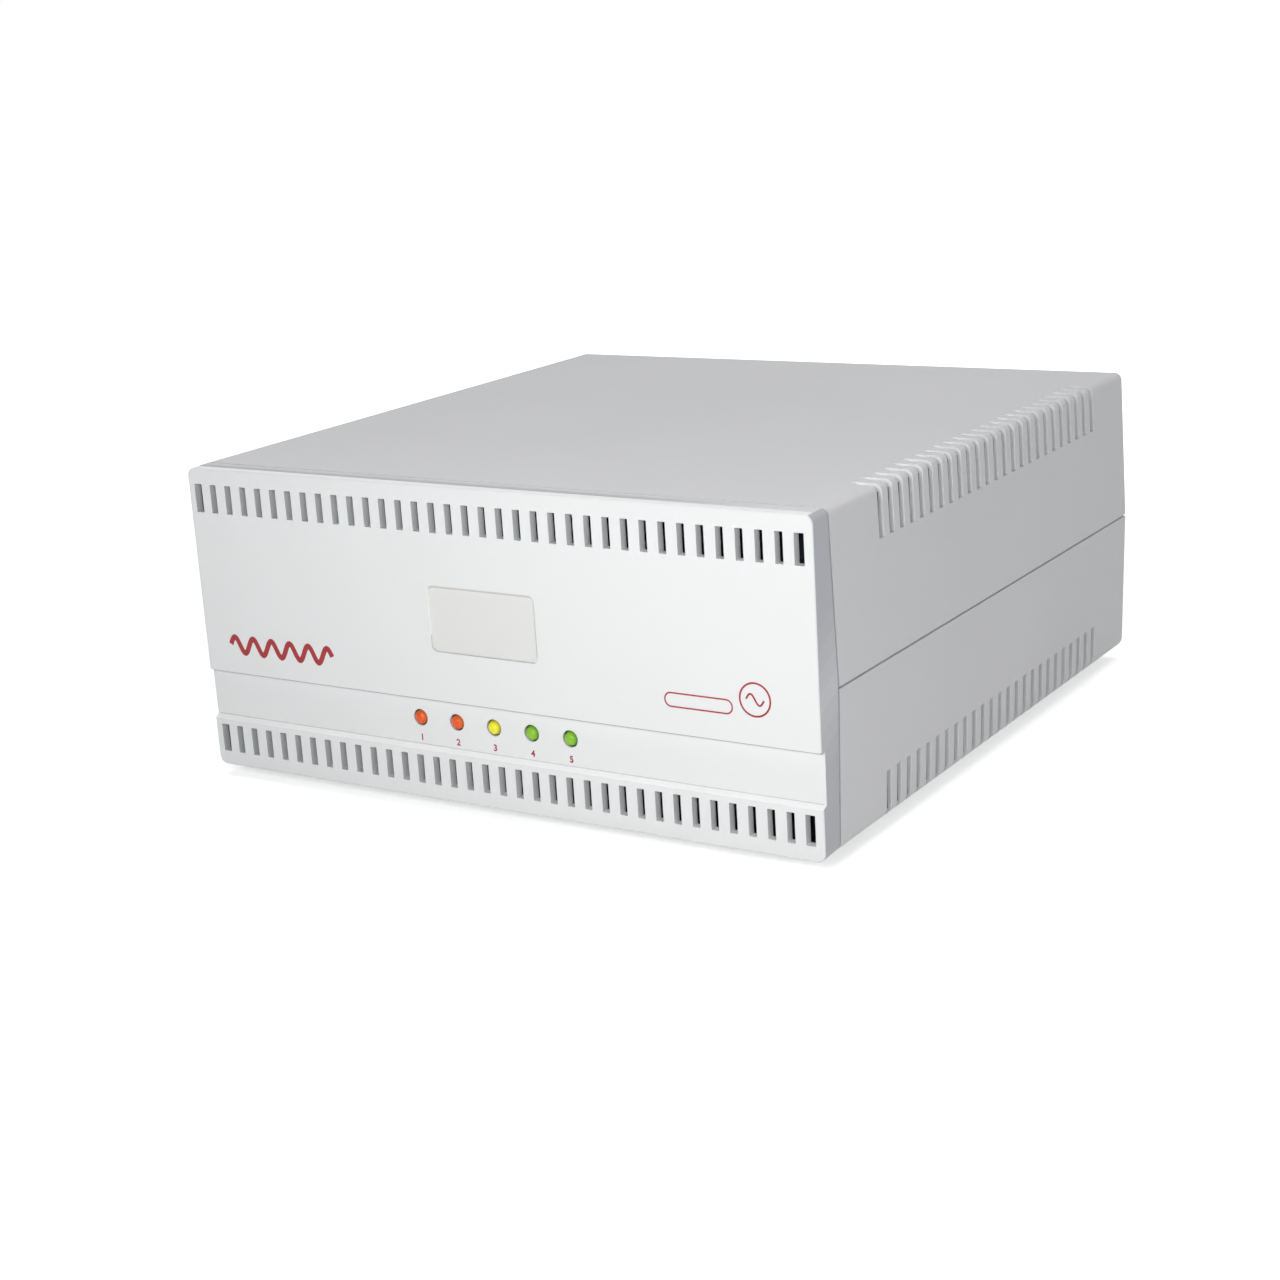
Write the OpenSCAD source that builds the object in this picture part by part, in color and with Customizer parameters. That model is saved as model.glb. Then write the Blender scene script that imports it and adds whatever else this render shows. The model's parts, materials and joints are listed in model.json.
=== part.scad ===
// Desktop voltage stabilizer: a moulded case in two halves with a vented front panel,
// a toroid transformer on a steel plate, a relay control board, and sockets and a switch at the rear.
// Millimetres. X runs to the right as seen from the front, Y to the rear, Z up.
// The origin is on the table, under the middle of the case.

/* [Case] */
// Width of the case at its parting line
case_w = 240; // [236:1:280]
// Depth of the case from the front face to the rear rim
case_d = 240; // [238:1:300]
// Height of the upper shell above the parting line
upper_h = 53; // [50:0.5:70]
// Height of the lower shell below the parting line
lower_h = 51.5; // [50:0.5:60]
// How far each side leans in from the parting line to the top or bottom
draft = 1.5; // [0.5:0.1:2]
// Radius of the long top edges
top_edge_r = 2.5; // [2:0.5:6]
// Radius of the long bottom edges
bottom_edge_r = 4.5; // [3.5:0.5:6]
// Wall thickness of the shells and the front panel
wall = 3; // [2.4:0.1:3.2]
// Height of the rubber feet below the case
foot_h = 4; // [3:0.5:8]
// Width of the groove along the parting line
parting_gap = 0.7; // [0.4:0.1:1]

/* [Front panel] */
// Depth of the front panel from its face to the seam
panel_d = 9.5; // [9:0.5:12]
// Radius of the front panel's face edges
face_edge_r = 0.8; // [0.5:0.1:2.5]
// How far the face's straight sides stand in from the case's width at the parting line
face_in = 1.8; // [0.5:0.1:2]
// Radius of the face's corners
face_corner_r = 3; // [1:0.5:6]
// Width of the groove at the seam between panel and shells
seam_gap = 0.9; // [0.5:0.1:1.2]
// Depth of the lamp band below the face
band_depth = 2; // [1.2:0.1:2.4]
// Height of the lamp band, with its sloped lower wall
band_h = 17.5; // [16:0.5:19]
// Distance from the parting line down to the lamp band
band_drop = 17.4; // [17:0.1:18]
// Height of the sloped lower wall of the lamp band
band_slope = 1.1; // [1:0.1:2.4]
// Width of the window plate
window_w = 41; // [30:1:60]
// Height of the window plate
window_h = 21.6; // [16:0.2:22]
// Height of the window's middle above the parting line
window_up = 9.9; // [8:0.1:12]
// Depth of the window recess
window_depth = 1.4; // [1:0.1:1.8]

/* [Vents] */
// Slots in each row of the front panel
front_slots = 36; // [20:1:36]
// Pitch of the front slots
front_pitch = 6.5; // [5.5:0.1:6.5]
// Width of a front slot
front_slot_w = 2.6; // [2:0.1:3.2]
// Width of the slot at each end of a front row
end_slot_w = 3.2; // [2:0.1:3.2]
// Height of a front slot
front_slot_h = 9.6; // [7:0.1:9.6]
// Distance from the top of the panel to the upper row
top_row_inset = 5.4; // [4.2:0.1:8]
// Distance from the bottom of the panel to the lower row
bottom_row_inset = 5.1; // [4.8:0.1:6]
// Slots in each row along a side
side_slots = 25; // [15:1:25]
// Pitch of the side slots
side_pitch = 7; // [5.5:0.1:7]
// Width of a side slot
side_slot_w = 3.2; // [2:0.1:4]
// Distance from the front face to the first side slot's middle
side_slot_first = 41.5; // [38:0.5:44]
// How far a side slot runs down or up the side
side_slot_drop = 16; // [12:0.5:20]
// How far a slot on the right runs in over the top or bottom
side_slot_reach = 10; // [8:0.1:13.4]
// Distance from the top or bottom to a slot on the left, which stays on the side
left_slot_inset = 5; // [4:0.5:7]

/* [Lamps] */
// Diameter of a lamp
lamp_d = 5; // [3:0.5:5]
// Distance between lamps
lamp_pitch = 14.6; // [12:0.1:15]
// Distance from the parting line down to the lamps
lamp_drop = 24.7; // [23:0.1:26]
// Colour of each lamp from left to right
lamp_colours = ["orangered", "orangered", "gold", "limegreen", "limegreen"];

/* [Transformer] */
// Outer diameter of the toroid over its tape
toroid_d = 124; // [100:1:126]
// Diameter of the hole through the toroid
toroid_hole_d = 38; // [30:1:44]
// Height of the toroid over its tape
toroid_h = 58; // [40:1:60]
// Side of the square steel base plate
plate_w = 120; // [110:1:121]
// Thickness of the steel base plate
plate_t = 2; // [1.5:0.1:3]

/* [Control board] */
// Width of the control board
board_w = 74; // [72:1:76]
// Length of the control board
board_l = 132; // [128:1:134]
// Thickness of every circuit board
board_t = 1.6; // [1:0.1:2]

/* [Rear] */
// Depth of the rear panel's face inside the rear rim
rear_inset = 8; // [8:0.5:12]
// Thickness of the rear panel
rear_t = 1.5; // [1:0.1:2]
// Sockets on the rear panel
sockets = 3; // [1:1:3]
// Distance between sockets
socket_pitch = 54; // [52:0.5:54]
// Diameter of a socket's well
well_d = 39.5; // [38.5:0.1:40.5]
// Depth of a socket's well
well_depth = 17.5; // [16:0.1:18]
// Angle through which the rocker turns
rocker_turn = 20; // [14:1:22]
// Travel of the breaker's reset button
button_travel = 4; // [2:0.5:5]

/* [Hidden] */
$fn = 48;
arc_steps = 8;
face_steps = 6;
side_steps = 8;
long_side = 10;
over = 1;

// Levels and planes of the case
z_part = foot_h + lower_h;
z_floor = foot_h + wall;
front_y = -case_d / 2;
rim_y = case_d / 2;
seam_y = front_y + panel_d;
rear_out_y = rim_y - rear_inset;
rear_in_y = rear_out_y - rear_t;
inner_r = 0.8;

// Where a slot's blind tip ends over the top, as shares of its reach and of the wall
tip_reach_share = 0.5;
tip_depth_share = 0.45;

// Grooves, lips and rails of the case
seam_groove_d = 1.2;
parting_groove_d = 0.9;
slip = 0.15;
root = 0.5;
lip_t = 1.2;
lip_h = 2.5;
lip_root_h = 3;
tongue_t = 1.5;
tongue_l = 4;
rail_t = 2.4;
rail_h = 3;
rear_gap = 0.1;
rear_clear = 0.3;

// Screws with their pilot and clearance holes
self_tap_r = 1.95;
hole_clear = 0.05;
pass_clear = 0.35;
case_screw_head_r = 3.6;
case_screw_head_h = 2.6;
case_screw_bite = 14;
small_screw_r = 1.45;
small_head_r = 2.8;
small_head_h = 2;
drive_r = 1.1;
drive_share = 0.6;

// Posts that join the two shells, with wells that the feet plug
post_r = 4.6;
post_side_in = 20;
post_front_in = 28;
post_rear_in = 66;
post_x = case_w / 2 - post_side_in;
front_post_y = front_y + post_front_in;
rear_post_y = rim_y - post_rear_in;
well_r = 3.95;
well_top = 26;
post_places = [
  [-post_x, front_post_y], [post_x, front_post_y], [-post_x, rear_post_y], [post_x, rear_post_y]
];
boss_r = 4.2;

// Feet
foot_r = 9;
foot_plug_h = 5;
foot_edge = 0.8;

// Screw posts and hooks of the front panel
panel_post_x = 60;
panel_post_up = 25;
panel_post_r = 3.6;
panel_post_l = 12;
tab_w = 14;
tab_t = 3;
tab_edge = 5;
panel_screw_l = 10;
hook_in = 12;
hook_x = case_w / 2 - hook_in;
hook_web_t = 2.4;
hook_w = 8;
hook_t = 2.4;
hook_h = 10;
hook_up = 24;
hook_l = 14;
catch_t = 3;
catch_in = 14.5;
catch_over = 2;

// Window
window_r = 2;
window_plate_t = 0.8;
window_slip = 0.05;

// Lamps and their board
lamp_flange_r = 2.9;
lamp_flange_h = 1;
lamp_total = 8.6;
lamp_proud = 1.2;
lamp_slip = 0.3;
lead_pitch = 2.54;
lead_r = 0.25;
lead_hole_r = 0.45;
lead_out = 1.5;
lamp_n = len(lamp_colours);
lamp_board_w = 88;
lamp_board_h = 14;
lamp_post_x = 40;
lamp_post_r = 3;
lamp_post_skin = 1;
lamp_z = z_part - lamp_drop;
band_floor_y = front_y + band_depth;
lamp_board_y = band_floor_y - lamp_proud + lamp_total;
board_screw_l = 5;

// Pin headers and the lamp cable
header_w = 10;
header_d = 5.8;
header_h = 8.5;
header_wall = 1;
lamp_header_x = -22;
pin_r = 0.35;
pin_n = 4;
pin_pitch = 2;
cable_r = 1.7;

// Transformer, from its base plate up
toroid_side_in = 86;
toroid_front_in = 91;
toroid_x = case_w / 2 - toroid_side_in;
toroid_y = front_y + toroid_front_in;
plate_post_h = 8;
plate_post_r = 4.5;
plate_post_in = 9;
plate_tab_w = 6.3;
pad_t = 3;
pad_in = 12;
tape_t = 0.8;
winding_t = 7;
toroid_edge_r = 12;
pad_r = toroid_d / 2 - toroid_edge_r - pad_in;
winding_edge_r = 4;
bolt_r = 4;
bolt_clear = 0.3;
bolt_head_w = 13;
bolt_head_h = 5.3;
bolt_up = 5;
dish_in = 4;
dish_r = pad_r - dish_in;
dish_t = 2;
dish_h = 4;
dish_flat_r = 12;
nut_h = 6.5;
plate_z = z_floor + plate_post_h;
pad_z = plate_z + plate_t;
toroid_z = pad_z + pad_t;
toroid_top = toroid_z + toroid_h;
dish_z = toroid_top + pad_t;
nut_z = dish_z + dish_h;
bolt_top = nut_z + nut_h + bolt_up;
plate_post_at = plate_w / 2 - plate_post_in;

// Control board, and the places of its parts from the board's middle
board_side_in = 45;
board_front_in = 100;
board_x = board_side_in - case_w / 2;
board_y = front_y + board_front_in;
board_post_h = 10;
board_post_r = 3.5;
board_post_in = 4.5;
board_z = z_floor + board_post_h;
board_top = board_z + board_t;
relays = 4;
relay_size = [19, 15, 15.5];
relay_pitch = 17;
relay_x = -23;
relay_edge = 0.8;
capacitor_r = 5;
capacitor_h = 20;
capacitor_rim = 0.6;
capacitor_places = [[-27, 38], [-13, 38], [30, -40]];
small_core = [30, 13, 26];
small_coil = [20, 26, 17];
small_core_window = 5;
small_at = [16, 30];
chip_w = 7.6;
chip_h = 3.6;
chip_notch_r = 1;
micro_l = 35;
micro_at = [8, -24];
driver_l = 20;
driver_at = [-7, -30];
tab_pack = [10, 4.5, 15];
tab_pack_at = [8, -52];
sink_size = [22, 12, 20];
sink_fins = 5;
sink_fin_t = 1.2;
sink_base_t = 2.5;
block_pitch = 9;
block_d = 12;
block_h = 14;
block_screw_r = 2.6;
block_entry_r = 1.9;
block_wire_z = 5;
block_entry_l = 2;
mains_ways = 6;
tap_ways = 5;
block_in = 2;
mains_block_y = board_y + board_l / 2 - block_in - block_d / 2;
tap_block_x = board_x + board_w / 2 - block_in - block_d / 2;
board_header_at = [24, -56];
board_header_x = board_x + board_header_at.x;
board_header_y = board_y + board_header_at.y;

// Outlets, from the face of the rear panel
socket_up = 6.5;
socket_side_in = 36;
socket_z = z_part + socket_up;
socket_first_x = socket_side_in - case_w / 2;
socket_last_x = socket_first_x + (sockets - 1) * socket_pitch;
live_tab_x = socket_first_x + socket_pitch / 2;
neutral_tab_x = socket_first_x + socket_pitch * 3 / 2;
earth_bar_tab_x = socket_last_x + socket_pitch / 2;
flange_w = 50;
flange_t = 3;
flange_r = 4;
socket_r = 22;
socket_l = 33;
socket_slip = 0.3;
contact_at = 9.5;
contact_r = 2.75;
contact_bore_r = 2.45;
contact_l = 12;
contact_slip = 0.1;
well_back = rear_out_y + flange_t - well_depth;
socket_back = rear_out_y - socket_l;
bar_t = 0.8;
bar_w = 5;
bar_off = 6;
clip_w = 4;
clip_t = 1;
clip_slip = 0.15;
clip_l = 12;
yoke_gap = 2.2;
earth_bar_drop = 12;
socket_screw_at = 21.5;

// Push-on tabs and their connectors
blade_w = 6.3;
blade_t = 0.8;
blade_l = 9;
grip_w = 7.5;
grip_t = 4;
grip_l = 14;
grip_stand = 1;
grip_slip = 0.1;
grip_reach = grip_stand + grip_l;

// Rear screws and nuts
rear_nut_w = 5.5;
rear_nut_h = 2.4;
rear_screw_bite = 4;

// Mains inlet
inlet_side_in = 36;
inlet_up = 28;
inlet_x = case_w / 2 - inlet_side_in;
inlet_z = foot_h + inlet_up;
inlet_flange_w = 50;
inlet_flange_h = 24;
inlet_w = 28;
inlet_h = 20;
inlet_l = 24;
inlet_well_w = 24.4;
inlet_well_h = 16.4;
inlet_well_depth = 17;
inlet_screw_at = 20;
inlet_pin_at = 7;
inlet_earth_up = 4;
inlet_pin_w = 2;
inlet_pin_h = 4;
inlet_pin_back = 2;
inlet_slip = 0.2;

// Switch
switch_side_in = 48;
switch_up = 8.5;
switch_x = case_w / 2 - switch_side_in;
switch_z = z_part + switch_up;
bezel_w = 22;
bezel_h = 33;
bezel_t = 2;
switch_w = 18.6;
switch_h = 29.6;
switch_l = 18;
switch_slip = 0.2;
hollow_w = 15.4;
hollow_h = 27.6;
hollow_l = 13.5;
rocker_slip = 0.3;
rocker_half = 12.2;
rocker_nose = 4.4;
rocker_waist = 3;
rocker_deep = 5;
rocker_foot = 5;
pivot_r = 1.5;
pivot_clear = 0.05;
pivot_l = 1.1;
terminal_at = 4.5;
terminal_up = 9;

// Breaker
breaker_side_in = 18;
breaker_up = 10.5;
breaker_x = case_w / 2 - breaker_side_in;
breaker_z = z_part + breaker_up;
breaker_w = 15;
breaker_h = 28;
breaker_l = 26;
neck_r = 5.5;
neck_l = 4.5;
neck_slip = 0.2;
breaker_nut_w = 14;
breaker_nut_h = 2;
button_r = 3.4;
button_clear = 0.08;
button_out = 2.5;
button_flange_r = 4.4;
button_flange_t = 1;
button_room_r = 4.8;
button_room_l = 8;
breaker_terminal_at = 8;

// Earth tab behind the rear panel
earth_side_in = 86;
earth_up = 19;
earth_x = case_w / 2 - earth_side_in;
earth_z = foot_h + earth_up;
earth_tab_h = 10;
earth_tab_in = 4;
earth_pitch = 8;
earth_blades = 3;

// Wires; bends are chosen by hand, as offsets from the straight line between a wire's two leads
wire_r = 1.3;
wire_lead = 6;
tap_r = 1;
ring_sides = 8;
cable_straight = 10;
cable_bends = [[-30, -88, 38], [-42, -80, 40]];
tap_straight = 4;
tap_rise = 10;
tap_gap = 6;
tap_bends = [[-6, -12], [4, 6], [14, 9]];
live_bends = [
  [[-1, -6.5, -9], [3, -5.5, -13.5], [6, -2, -9.5], [4, -1, -3]],
  [[-1.5, -8, 4], [-6, -8, 5.5], [-6.5, -3.5, 2]],
  [[19.5, -6, -4], [19.5, -9.5, -8.5], [1.5, -7.5, -9.5], [-22.5, -3.5, -8], [-22.5, 1, -5]],
  [[0, 3, -2.5], [2.5, 0, 1]]
];
neutral_bends = [
  [[1.5, -7, -2], [-3.5, -12.5, 1.5], [-9, -12.5, 5.5], [-4.5, -8, 5]],
  [[18.5, -2, -4], [20.5, -3.5, -5.5], [10.5, -0.5, -2.5], [-13.5, 3.5, -1], [-21.5, 5, -3]],
  [[-7, -2.5, 4.5], [2, -2.5, 8], [9.5, -1, 6]]
];
earth_bends = [
  [[0.5, -9.5, 5], [-3, -12, 4.5], [-4.5, -7.5, 0]],
  [[2, -11.5, -2.5], [5.5, -18.5, -7], [3.5, -13, -10], [0, -2, -5.5]],
  [[0, -0.5, -1]]
];

// Outlines

// Points of a quarter or shorter arc
function arc(c, r, a0, a1) =
  [for (i = [0:arc_steps]) let (a = a0 + (a1 - a0) * i / arc_steps) c + r * [cos(a), sin(a)]];

function mirrored(points) = [for (i = [len(points) - 1:-1:0]) [-points[i].x, points[i].y]];

// Half of an outline, from the parting line up to height h, inset by t on every side.
// It is half_w wide to each side at the parting line and leans in by lean_in.
function half_outline(t, h, edge_r, half_w, lean_in) =
  let (
    lean = atan(lean_in / h),
    r = max(edge_r - t, inner_r),
    cy = h - t - r,
    cx = half_w - t - (r + cy * sin(lean)) / cos(lean),
    right = concat([[half_w - t, 0]], arc([cx, cy], r, lean, 90))
  )
  concat(right, mirrored(right));

function both_halves(above, below) =
  concat(above, [for (i = [len(below) - 2:-1:1]) [below[i].x, -below[i].y]]);

function upper_points(t) = half_outline(t, upper_h, top_edge_r, case_w / 2, draft);

function lower_points(t) = half_outline(t, lower_h, bottom_edge_r, case_w / 2, draft);

// The whole section of the case, inset by t, with the parting line at height zero
function section_points(t) = both_halves(upper_points(t), lower_points(t));

// The outline of the front panel's face, inset by t
function face_points(t) =
  both_halves(
    half_outline(t, upper_h, face_corner_r, case_w / 2 - face_in, 0),
    half_outline(t, lower_h, face_corner_r, case_w / 2 - face_in, 0)
  );

// A solid with the given section, in the XZ plane at the parting line, from y0 to y1
module along_y(y0, y1) {
  translate([0, y1, z_part]) rotate([90, 0, 0]) linear_extrude(y1 - y0) children();
}

module upper_area(t) {
  polygon(upper_points(t));
}

module lower_area(t) {
  mirror([0, 1]) polygon(lower_points(t));
}

module both_sides() {
  children();
  mirror([1, 0, 0]) children();
}

// A box that is centred on X and starts at y and z
module box_from(w, d, h) {
  translate([-w / 2, 0, 0]) cube([w, d, h]);
}

// A rounded rectangle centred on the origin
module rounded(w, h, r) {
  square([w - 2 * r, h], center = true);
  square([w, h - 2 * r], center = true);
  for (x = [-1, 1], y = [-1, 1]) translate([x * (w / 2 - r), y * (h / 2 - r)]) circle(r);
}

// A cylinder along Y, from y0 to y1
module rod_y(r, y0, y1) {
  translate([0, y1, 0]) rotate([90, 0, 0]) cylinder(r = r, h = y1 - y0);
}

// A plate in the XZ plane with rounded corners, from y0 to y1
module plate_y(w, h, r, y0, y1) {
  translate([0, y1, 0]) rotate([90, 0, 0]) linear_extrude(y1 - y0) rounded(w, h, r);
}

// A hexagonal prism along Z, w across its flats
module hexagon(w, h) {
  cylinder(d = w / cos(30), h = h, $fn = 6);
}

// A pan head with its cross recess, with its underside at height zero
module pan_head(r, h) {
  difference() {
    cylinder(r = r, h = h);
    for (a = [0, 90]) {
      rotate([0, 0, a]) translate([-r * drive_share, -drive_r / 4, h * (1 - drive_share)])
        cube([2 * r * drive_share, drive_r / 2, h]);
    }
  }
}

// A screw that points down, with the underside of its head at height zero
module screw(r, l, head_r, head_h) {
  pan_head(head_r, head_h);
  translate([0, 0, -l]) cylinder(r = r, h = l + head_h / 4);
}

// Wires

function unit(v) = v / norm(v);

// A point on the smooth curve through the points of a route, u spans along
function on_route(p, u) =
  let (
    last = len(p) - 1,
    i = min(floor(u), last - 1),
    t = u - i,
    a = p[max(i - 1, 0)],
    b = p[i],
    c = p[i + 1],
    d = p[min(i + 2, last)],
    m0 = i == 0 ? c - b : (c - a) / 2,
    m1 = i + 1 == last ? c - b : (d - b) / 2
  )
  (2 * t * t * t - 3 * t * t + 1) * b + (t * t * t - 2 * t * t + t) * m0
    + (3 * t * t - 2 * t * t * t) * c + (t * t * t - t * t) * m1;

// Spans of the route are cut into steps of about three diameters
function route_stations(p, r) =
  concat(
    [for (i = [0:len(p) - 2])
      let (n = max(1, round(norm(p[i + 1] - p[i]) / (6 * r))))
      for (k = [0:n - 1]) i + k / n],
    [len(p) - 1]
  );

// A tube swept along a route, its rings square to the curve
module wire(p, r) {
  u = route_stations(p, r);
  centres = [for (s = u) on_route(p, s)];
  last = len(centres) - 1;
  rings = [
    for (i = [0:last])
      let (
        t = i == 0 ? unit(p[1] - p[0])
          : i == last ? unit(p[len(p) - 1] - p[len(p) - 2])
          : unit(centres[i + 1] - centres[i - 1]),
        side = unit(cross(t, abs(t.x) < 0.7 ? [1, 0.3, 0] : [0, 1, 0.3])),
        up = cross(side, t)
      )
      [for (k = [0:ring_sides - 1])
        let (a = 360 * k / ring_sides)
        centres[i] + r * (cos(a) * side + sin(a) * up)]
  ];
  points = [for (ring = rings) each ring];
  bands = [
    for (i = [0:last - 1], k = [0:ring_sides - 1])
      let (
        a = i * ring_sides + k,
        b = i * ring_sides + (k + 1) % ring_sides,
        c = a + ring_sides,
        d = b + ring_sides
      )
      each [[a, b, c], [b, d, c]]
  ];
  first_cap = [for (k = [1:ring_sides - 2]) [0, k + 1, k]];
  base = last * ring_sides;
  last_cap = [for (k = [1:ring_sides - 2]) [base, base + k, base + k + 1]];
  polyhedron(points, concat(bands, first_cap, last_cap));
}

// Case

// Starts of the side slots along Y
function side_slot_y(i) = front_y + side_slot_first + i * side_pitch - side_slot_w / 2;

// Slots of one half that wrap over the right edge, with a blind tip that rises to the top
module wrapped_slot_cuts(h) {
  x0 = case_w / 2 - draft;
  x1 = x0 - side_slot_reach * tip_reach_share;
  x2 = x0 - side_slot_reach;
  out_x = case_w / 2 + over;
  for (i = [0:side_slots - 1]) along_y(side_slot_y(i), side_slot_y(i) + side_slot_w) polygon([
    [out_x, h + over], [x2, h + over], [x2, h], [x1, h - wall * tip_depth_share],
    [x1, h - side_slot_drop], [out_x, h - side_slot_drop]
  ]);
}

// Slots of one half that stay on the left side
module left_slot_cuts(h) {
  for (i = [0:side_slots - 1]) translate([-case_w / 2 - over, side_slot_y(i), z_part + h - side_slot_drop])
    cube([draft + wall + 2 * over, side_slot_w, side_slot_drop - left_slot_inset]);
}

// The groove that shows along the parting line, cut half from each shell
module parting_groove_cut() {
  both_sides() translate([case_w / 2 - parting_groove_d, seam_y - over, z_part - parting_gap / 2])
    cube([parting_groove_d + over, case_d + over, parting_gap]);
}

// The two rails that hold an edge of the rear panel, inside an inset outline
module rails() {
  for (y = [rear_in_y - rear_gap - rail_t, rear_out_y + rear_gap]) along_y(y, y + rail_t) children();
}

module tongue_ring(t0, t1, upper) {
  difference() {
    if (upper) upper_area(t0); else lower_area(t0);
    if (upper) upper_area(t1); else lower_area(t1);
  }
}

// One shell's wall with the tongue that enters the front panel and the rails for the rear panel
module shell_body(upper) {
  along_y(seam_y, rim_y) tongue_ring(0, wall, upper);
  along_y(seam_y - tongue_l, seam_y + root) tongue_ring(wall + slip, wall + slip + tongue_t, upper);
  along_y(seam_y, seam_y + tongue_l) tongue_ring(wall - root, wall + slip + tongue_t, upper);
  rails() tongue_ring(wall - root, wall + rail_h, upper);
}

module upper_shell() {
  color([0.78, 0.78, 0.79]) difference() {
    union() {
      shell_body(true);
      upper_lip();
      for (p = post_places) translate([p.x, p.y, z_part]) cylinder(r = boss_r, h = upper_h - wall / 2);
      both_sides() panel_catch();
    }
    wrapped_slot_cuts(upper_h);
    left_slot_cuts(upper_h);
    parting_groove_cut();
    for (p = post_places) translate([p.x, p.y, z_part - over])
      cylinder(r = self_tap_r + hole_clear, h = case_screw_bite + 2 * over);
  }
}

// The lip inside the upper shell that steadies the lower shell's rim
module upper_lip() {
  y0 = seam_y + tongue_l + over;
  y1 = rear_in_y - rear_gap - rail_t - over;
  both_sides() {
    translate([case_w / 2 - wall - slip - lip_t, y0, z_part - lip_h])
      cube([lip_t, y1 - y0, lip_h + lip_root_h]);
    translate([case_w / 2 - wall - slip - lip_t, y0, z_part])
      cube([lip_t + slip + root, y1 - y0, lip_root_h]);
  }
}

// A slotted rib on the upper shell that drops in front of the panel's hook
module panel_catch() {
  y = front_y + wall + hook_l - hook_t - slip - catch_t;
  difference() {
    translate([case_w / 2 - wall - catch_in, y, z_part + hook_up - catch_over])
      cube([catch_in + root, catch_t, hook_h + 2 * catch_over]);
    translate([hook_x - hook_web_t / 2 - slip, y - over, z_part + hook_up - catch_over - over])
      cube([hook_web_t + 2 * slip, catch_t + 2 * over, hook_h + catch_over + over + slip]);
  }
}

module lower_shell() {
  color([0.76, 0.76, 0.77]) difference() {
    union() {
      shell_body(false);
      for (p = post_places) translate([p.x, p.y, foot_h + wall / 2])
        cylinder(r = post_r, h = lower_h - wall / 2);
      for (x = [-1, 1], y = [-1, 1])
        translate([toroid_x + x * plate_post_at, toroid_y + y * plate_post_at, z_floor - root])
          cylinder(r = plate_post_r, h = plate_post_h + root);
      for (x = [-1, 1], y = [-1, 1])
        translate([
          board_x + x * (board_w / 2 - board_post_in), board_y + y * (board_l / 2 - board_post_in),
          z_floor - root
        ]) cylinder(r = board_post_r, h = board_post_h + root);
      both_sides() panel_tab();
    }
    translate([0, 0, 2 * z_part]) mirror([0, 0, 1]) {
      wrapped_slot_cuts(lower_h);
      left_slot_cuts(lower_h);
    }
    parting_groove_cut();
    for (p = post_places) translate([p.x, p.y, 0]) {
      translate([0, 0, foot_h - over]) cylinder(r = well_r, h = well_top + over);
      cylinder(r = self_tap_r + pass_clear, h = z_part + over);
    }
    for (x = [-1, 1], y = [-1, 1])
      translate([toroid_x + x * plate_post_at, toroid_y + y * plate_post_at, z_floor])
        cylinder(r = self_tap_r + hole_clear, h = plate_post_h + over);
    for (x = [-1, 1], y = [-1, 1])
      translate([
        board_x + x * (board_w / 2 - board_post_in), board_y + y * (board_l / 2 - board_post_in), z_floor
      ]) cylinder(r = small_screw_r + hole_clear, h = board_post_h + over);
    both_sides() translate([panel_post_x, 0, foot_h + panel_post_up])
      rod_y(small_screw_r + pass_clear, seam_y, seam_y + panel_post_l + tab_t);
  }
}

// The upright tab behind a screw post of the front panel
module panel_tab() {
  y = front_y + wall + panel_post_l;
  translate([panel_post_x, y, z_floor - root])
    box_from(tab_w, tab_t, panel_post_up - wall + tab_edge + root);
}

module feet() {
  color([0.15, 0.15, 0.16]) for (p = post_places) translate([p.x, p.y, 0]) {
    cylinder(r1 = foot_r - foot_edge, r2 = foot_r, h = foot_edge);
    translate([0, 0, foot_edge]) cylinder(r = foot_r, h = foot_h - foot_edge);
    cylinder(r = well_r - hole_clear, h = foot_h + foot_plug_h);
  }
}

module case_screws() {
  l = z_part + case_screw_bite - foot_h - well_top;
  color([0.6, 0.6, 0.62]) for (p = post_places) translate([p.x, p.y, foot_h + well_top])
    mirror([0, 0, 1]) screw(self_tap_r, l, case_screw_head_r, case_screw_head_h);
}

module rear_panel() {
  color([0.45, 0.46, 0.48]) difference() {
    along_y(rear_in_y, rear_out_y) polygon(section_points(wall + rear_clear));
    for (i = [0:sockets - 1]) at_socket(i) {
      rod_y(socket_r + socket_slip, rear_in_y - over, rear_out_y + over);
      socket_screw_places() rod_y(small_screw_r + pass_clear, rear_in_y - over, rear_out_y + over);
    }
    translate([inlet_x, 0, inlet_z]) {
      translate([0, rear_in_y - over, -inlet_h / 2 - inlet_slip])
        box_from(inlet_w + 2 * inlet_slip, rear_t + 2 * over, inlet_h + 2 * inlet_slip);
      for (s = [-1, 1]) translate([s * inlet_screw_at, 0, 0])
        rod_y(small_screw_r + pass_clear, rear_in_y - over, rear_out_y + over);
    }
    translate([switch_x, rear_in_y - over, switch_z - switch_h / 2 - switch_slip])
      box_from(switch_w + 2 * switch_slip, rear_t + 2 * over, switch_h + 2 * switch_slip);
    translate([breaker_x, 0, breaker_z]) rod_y(neck_r + neck_slip, rear_in_y - over, rear_out_y + over);
    translate([earth_x, 0, earth_z])
      rod_y(small_screw_r + pass_clear, rear_in_y - over, rear_out_y + over);
  }
}

// Front panel

function front_slot_x(i) = (i - (front_slots - 1) / 2) * front_pitch;

// Turns an outline into a ring at y, with each long side cut into side_steps
function ring_at(y, outline) =
  [
    for (i = [0:len(outline) - 1])
      let (
        a = outline[i],
        b = outline[(i + 1) % len(outline)],
        n = norm(b - a) > long_side ? side_steps : 1
      )
      for (k = [0:n - 1]) let (p = a + (b - a) * k / n) [p.x, y, z_part + p.y]
  ];

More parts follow.
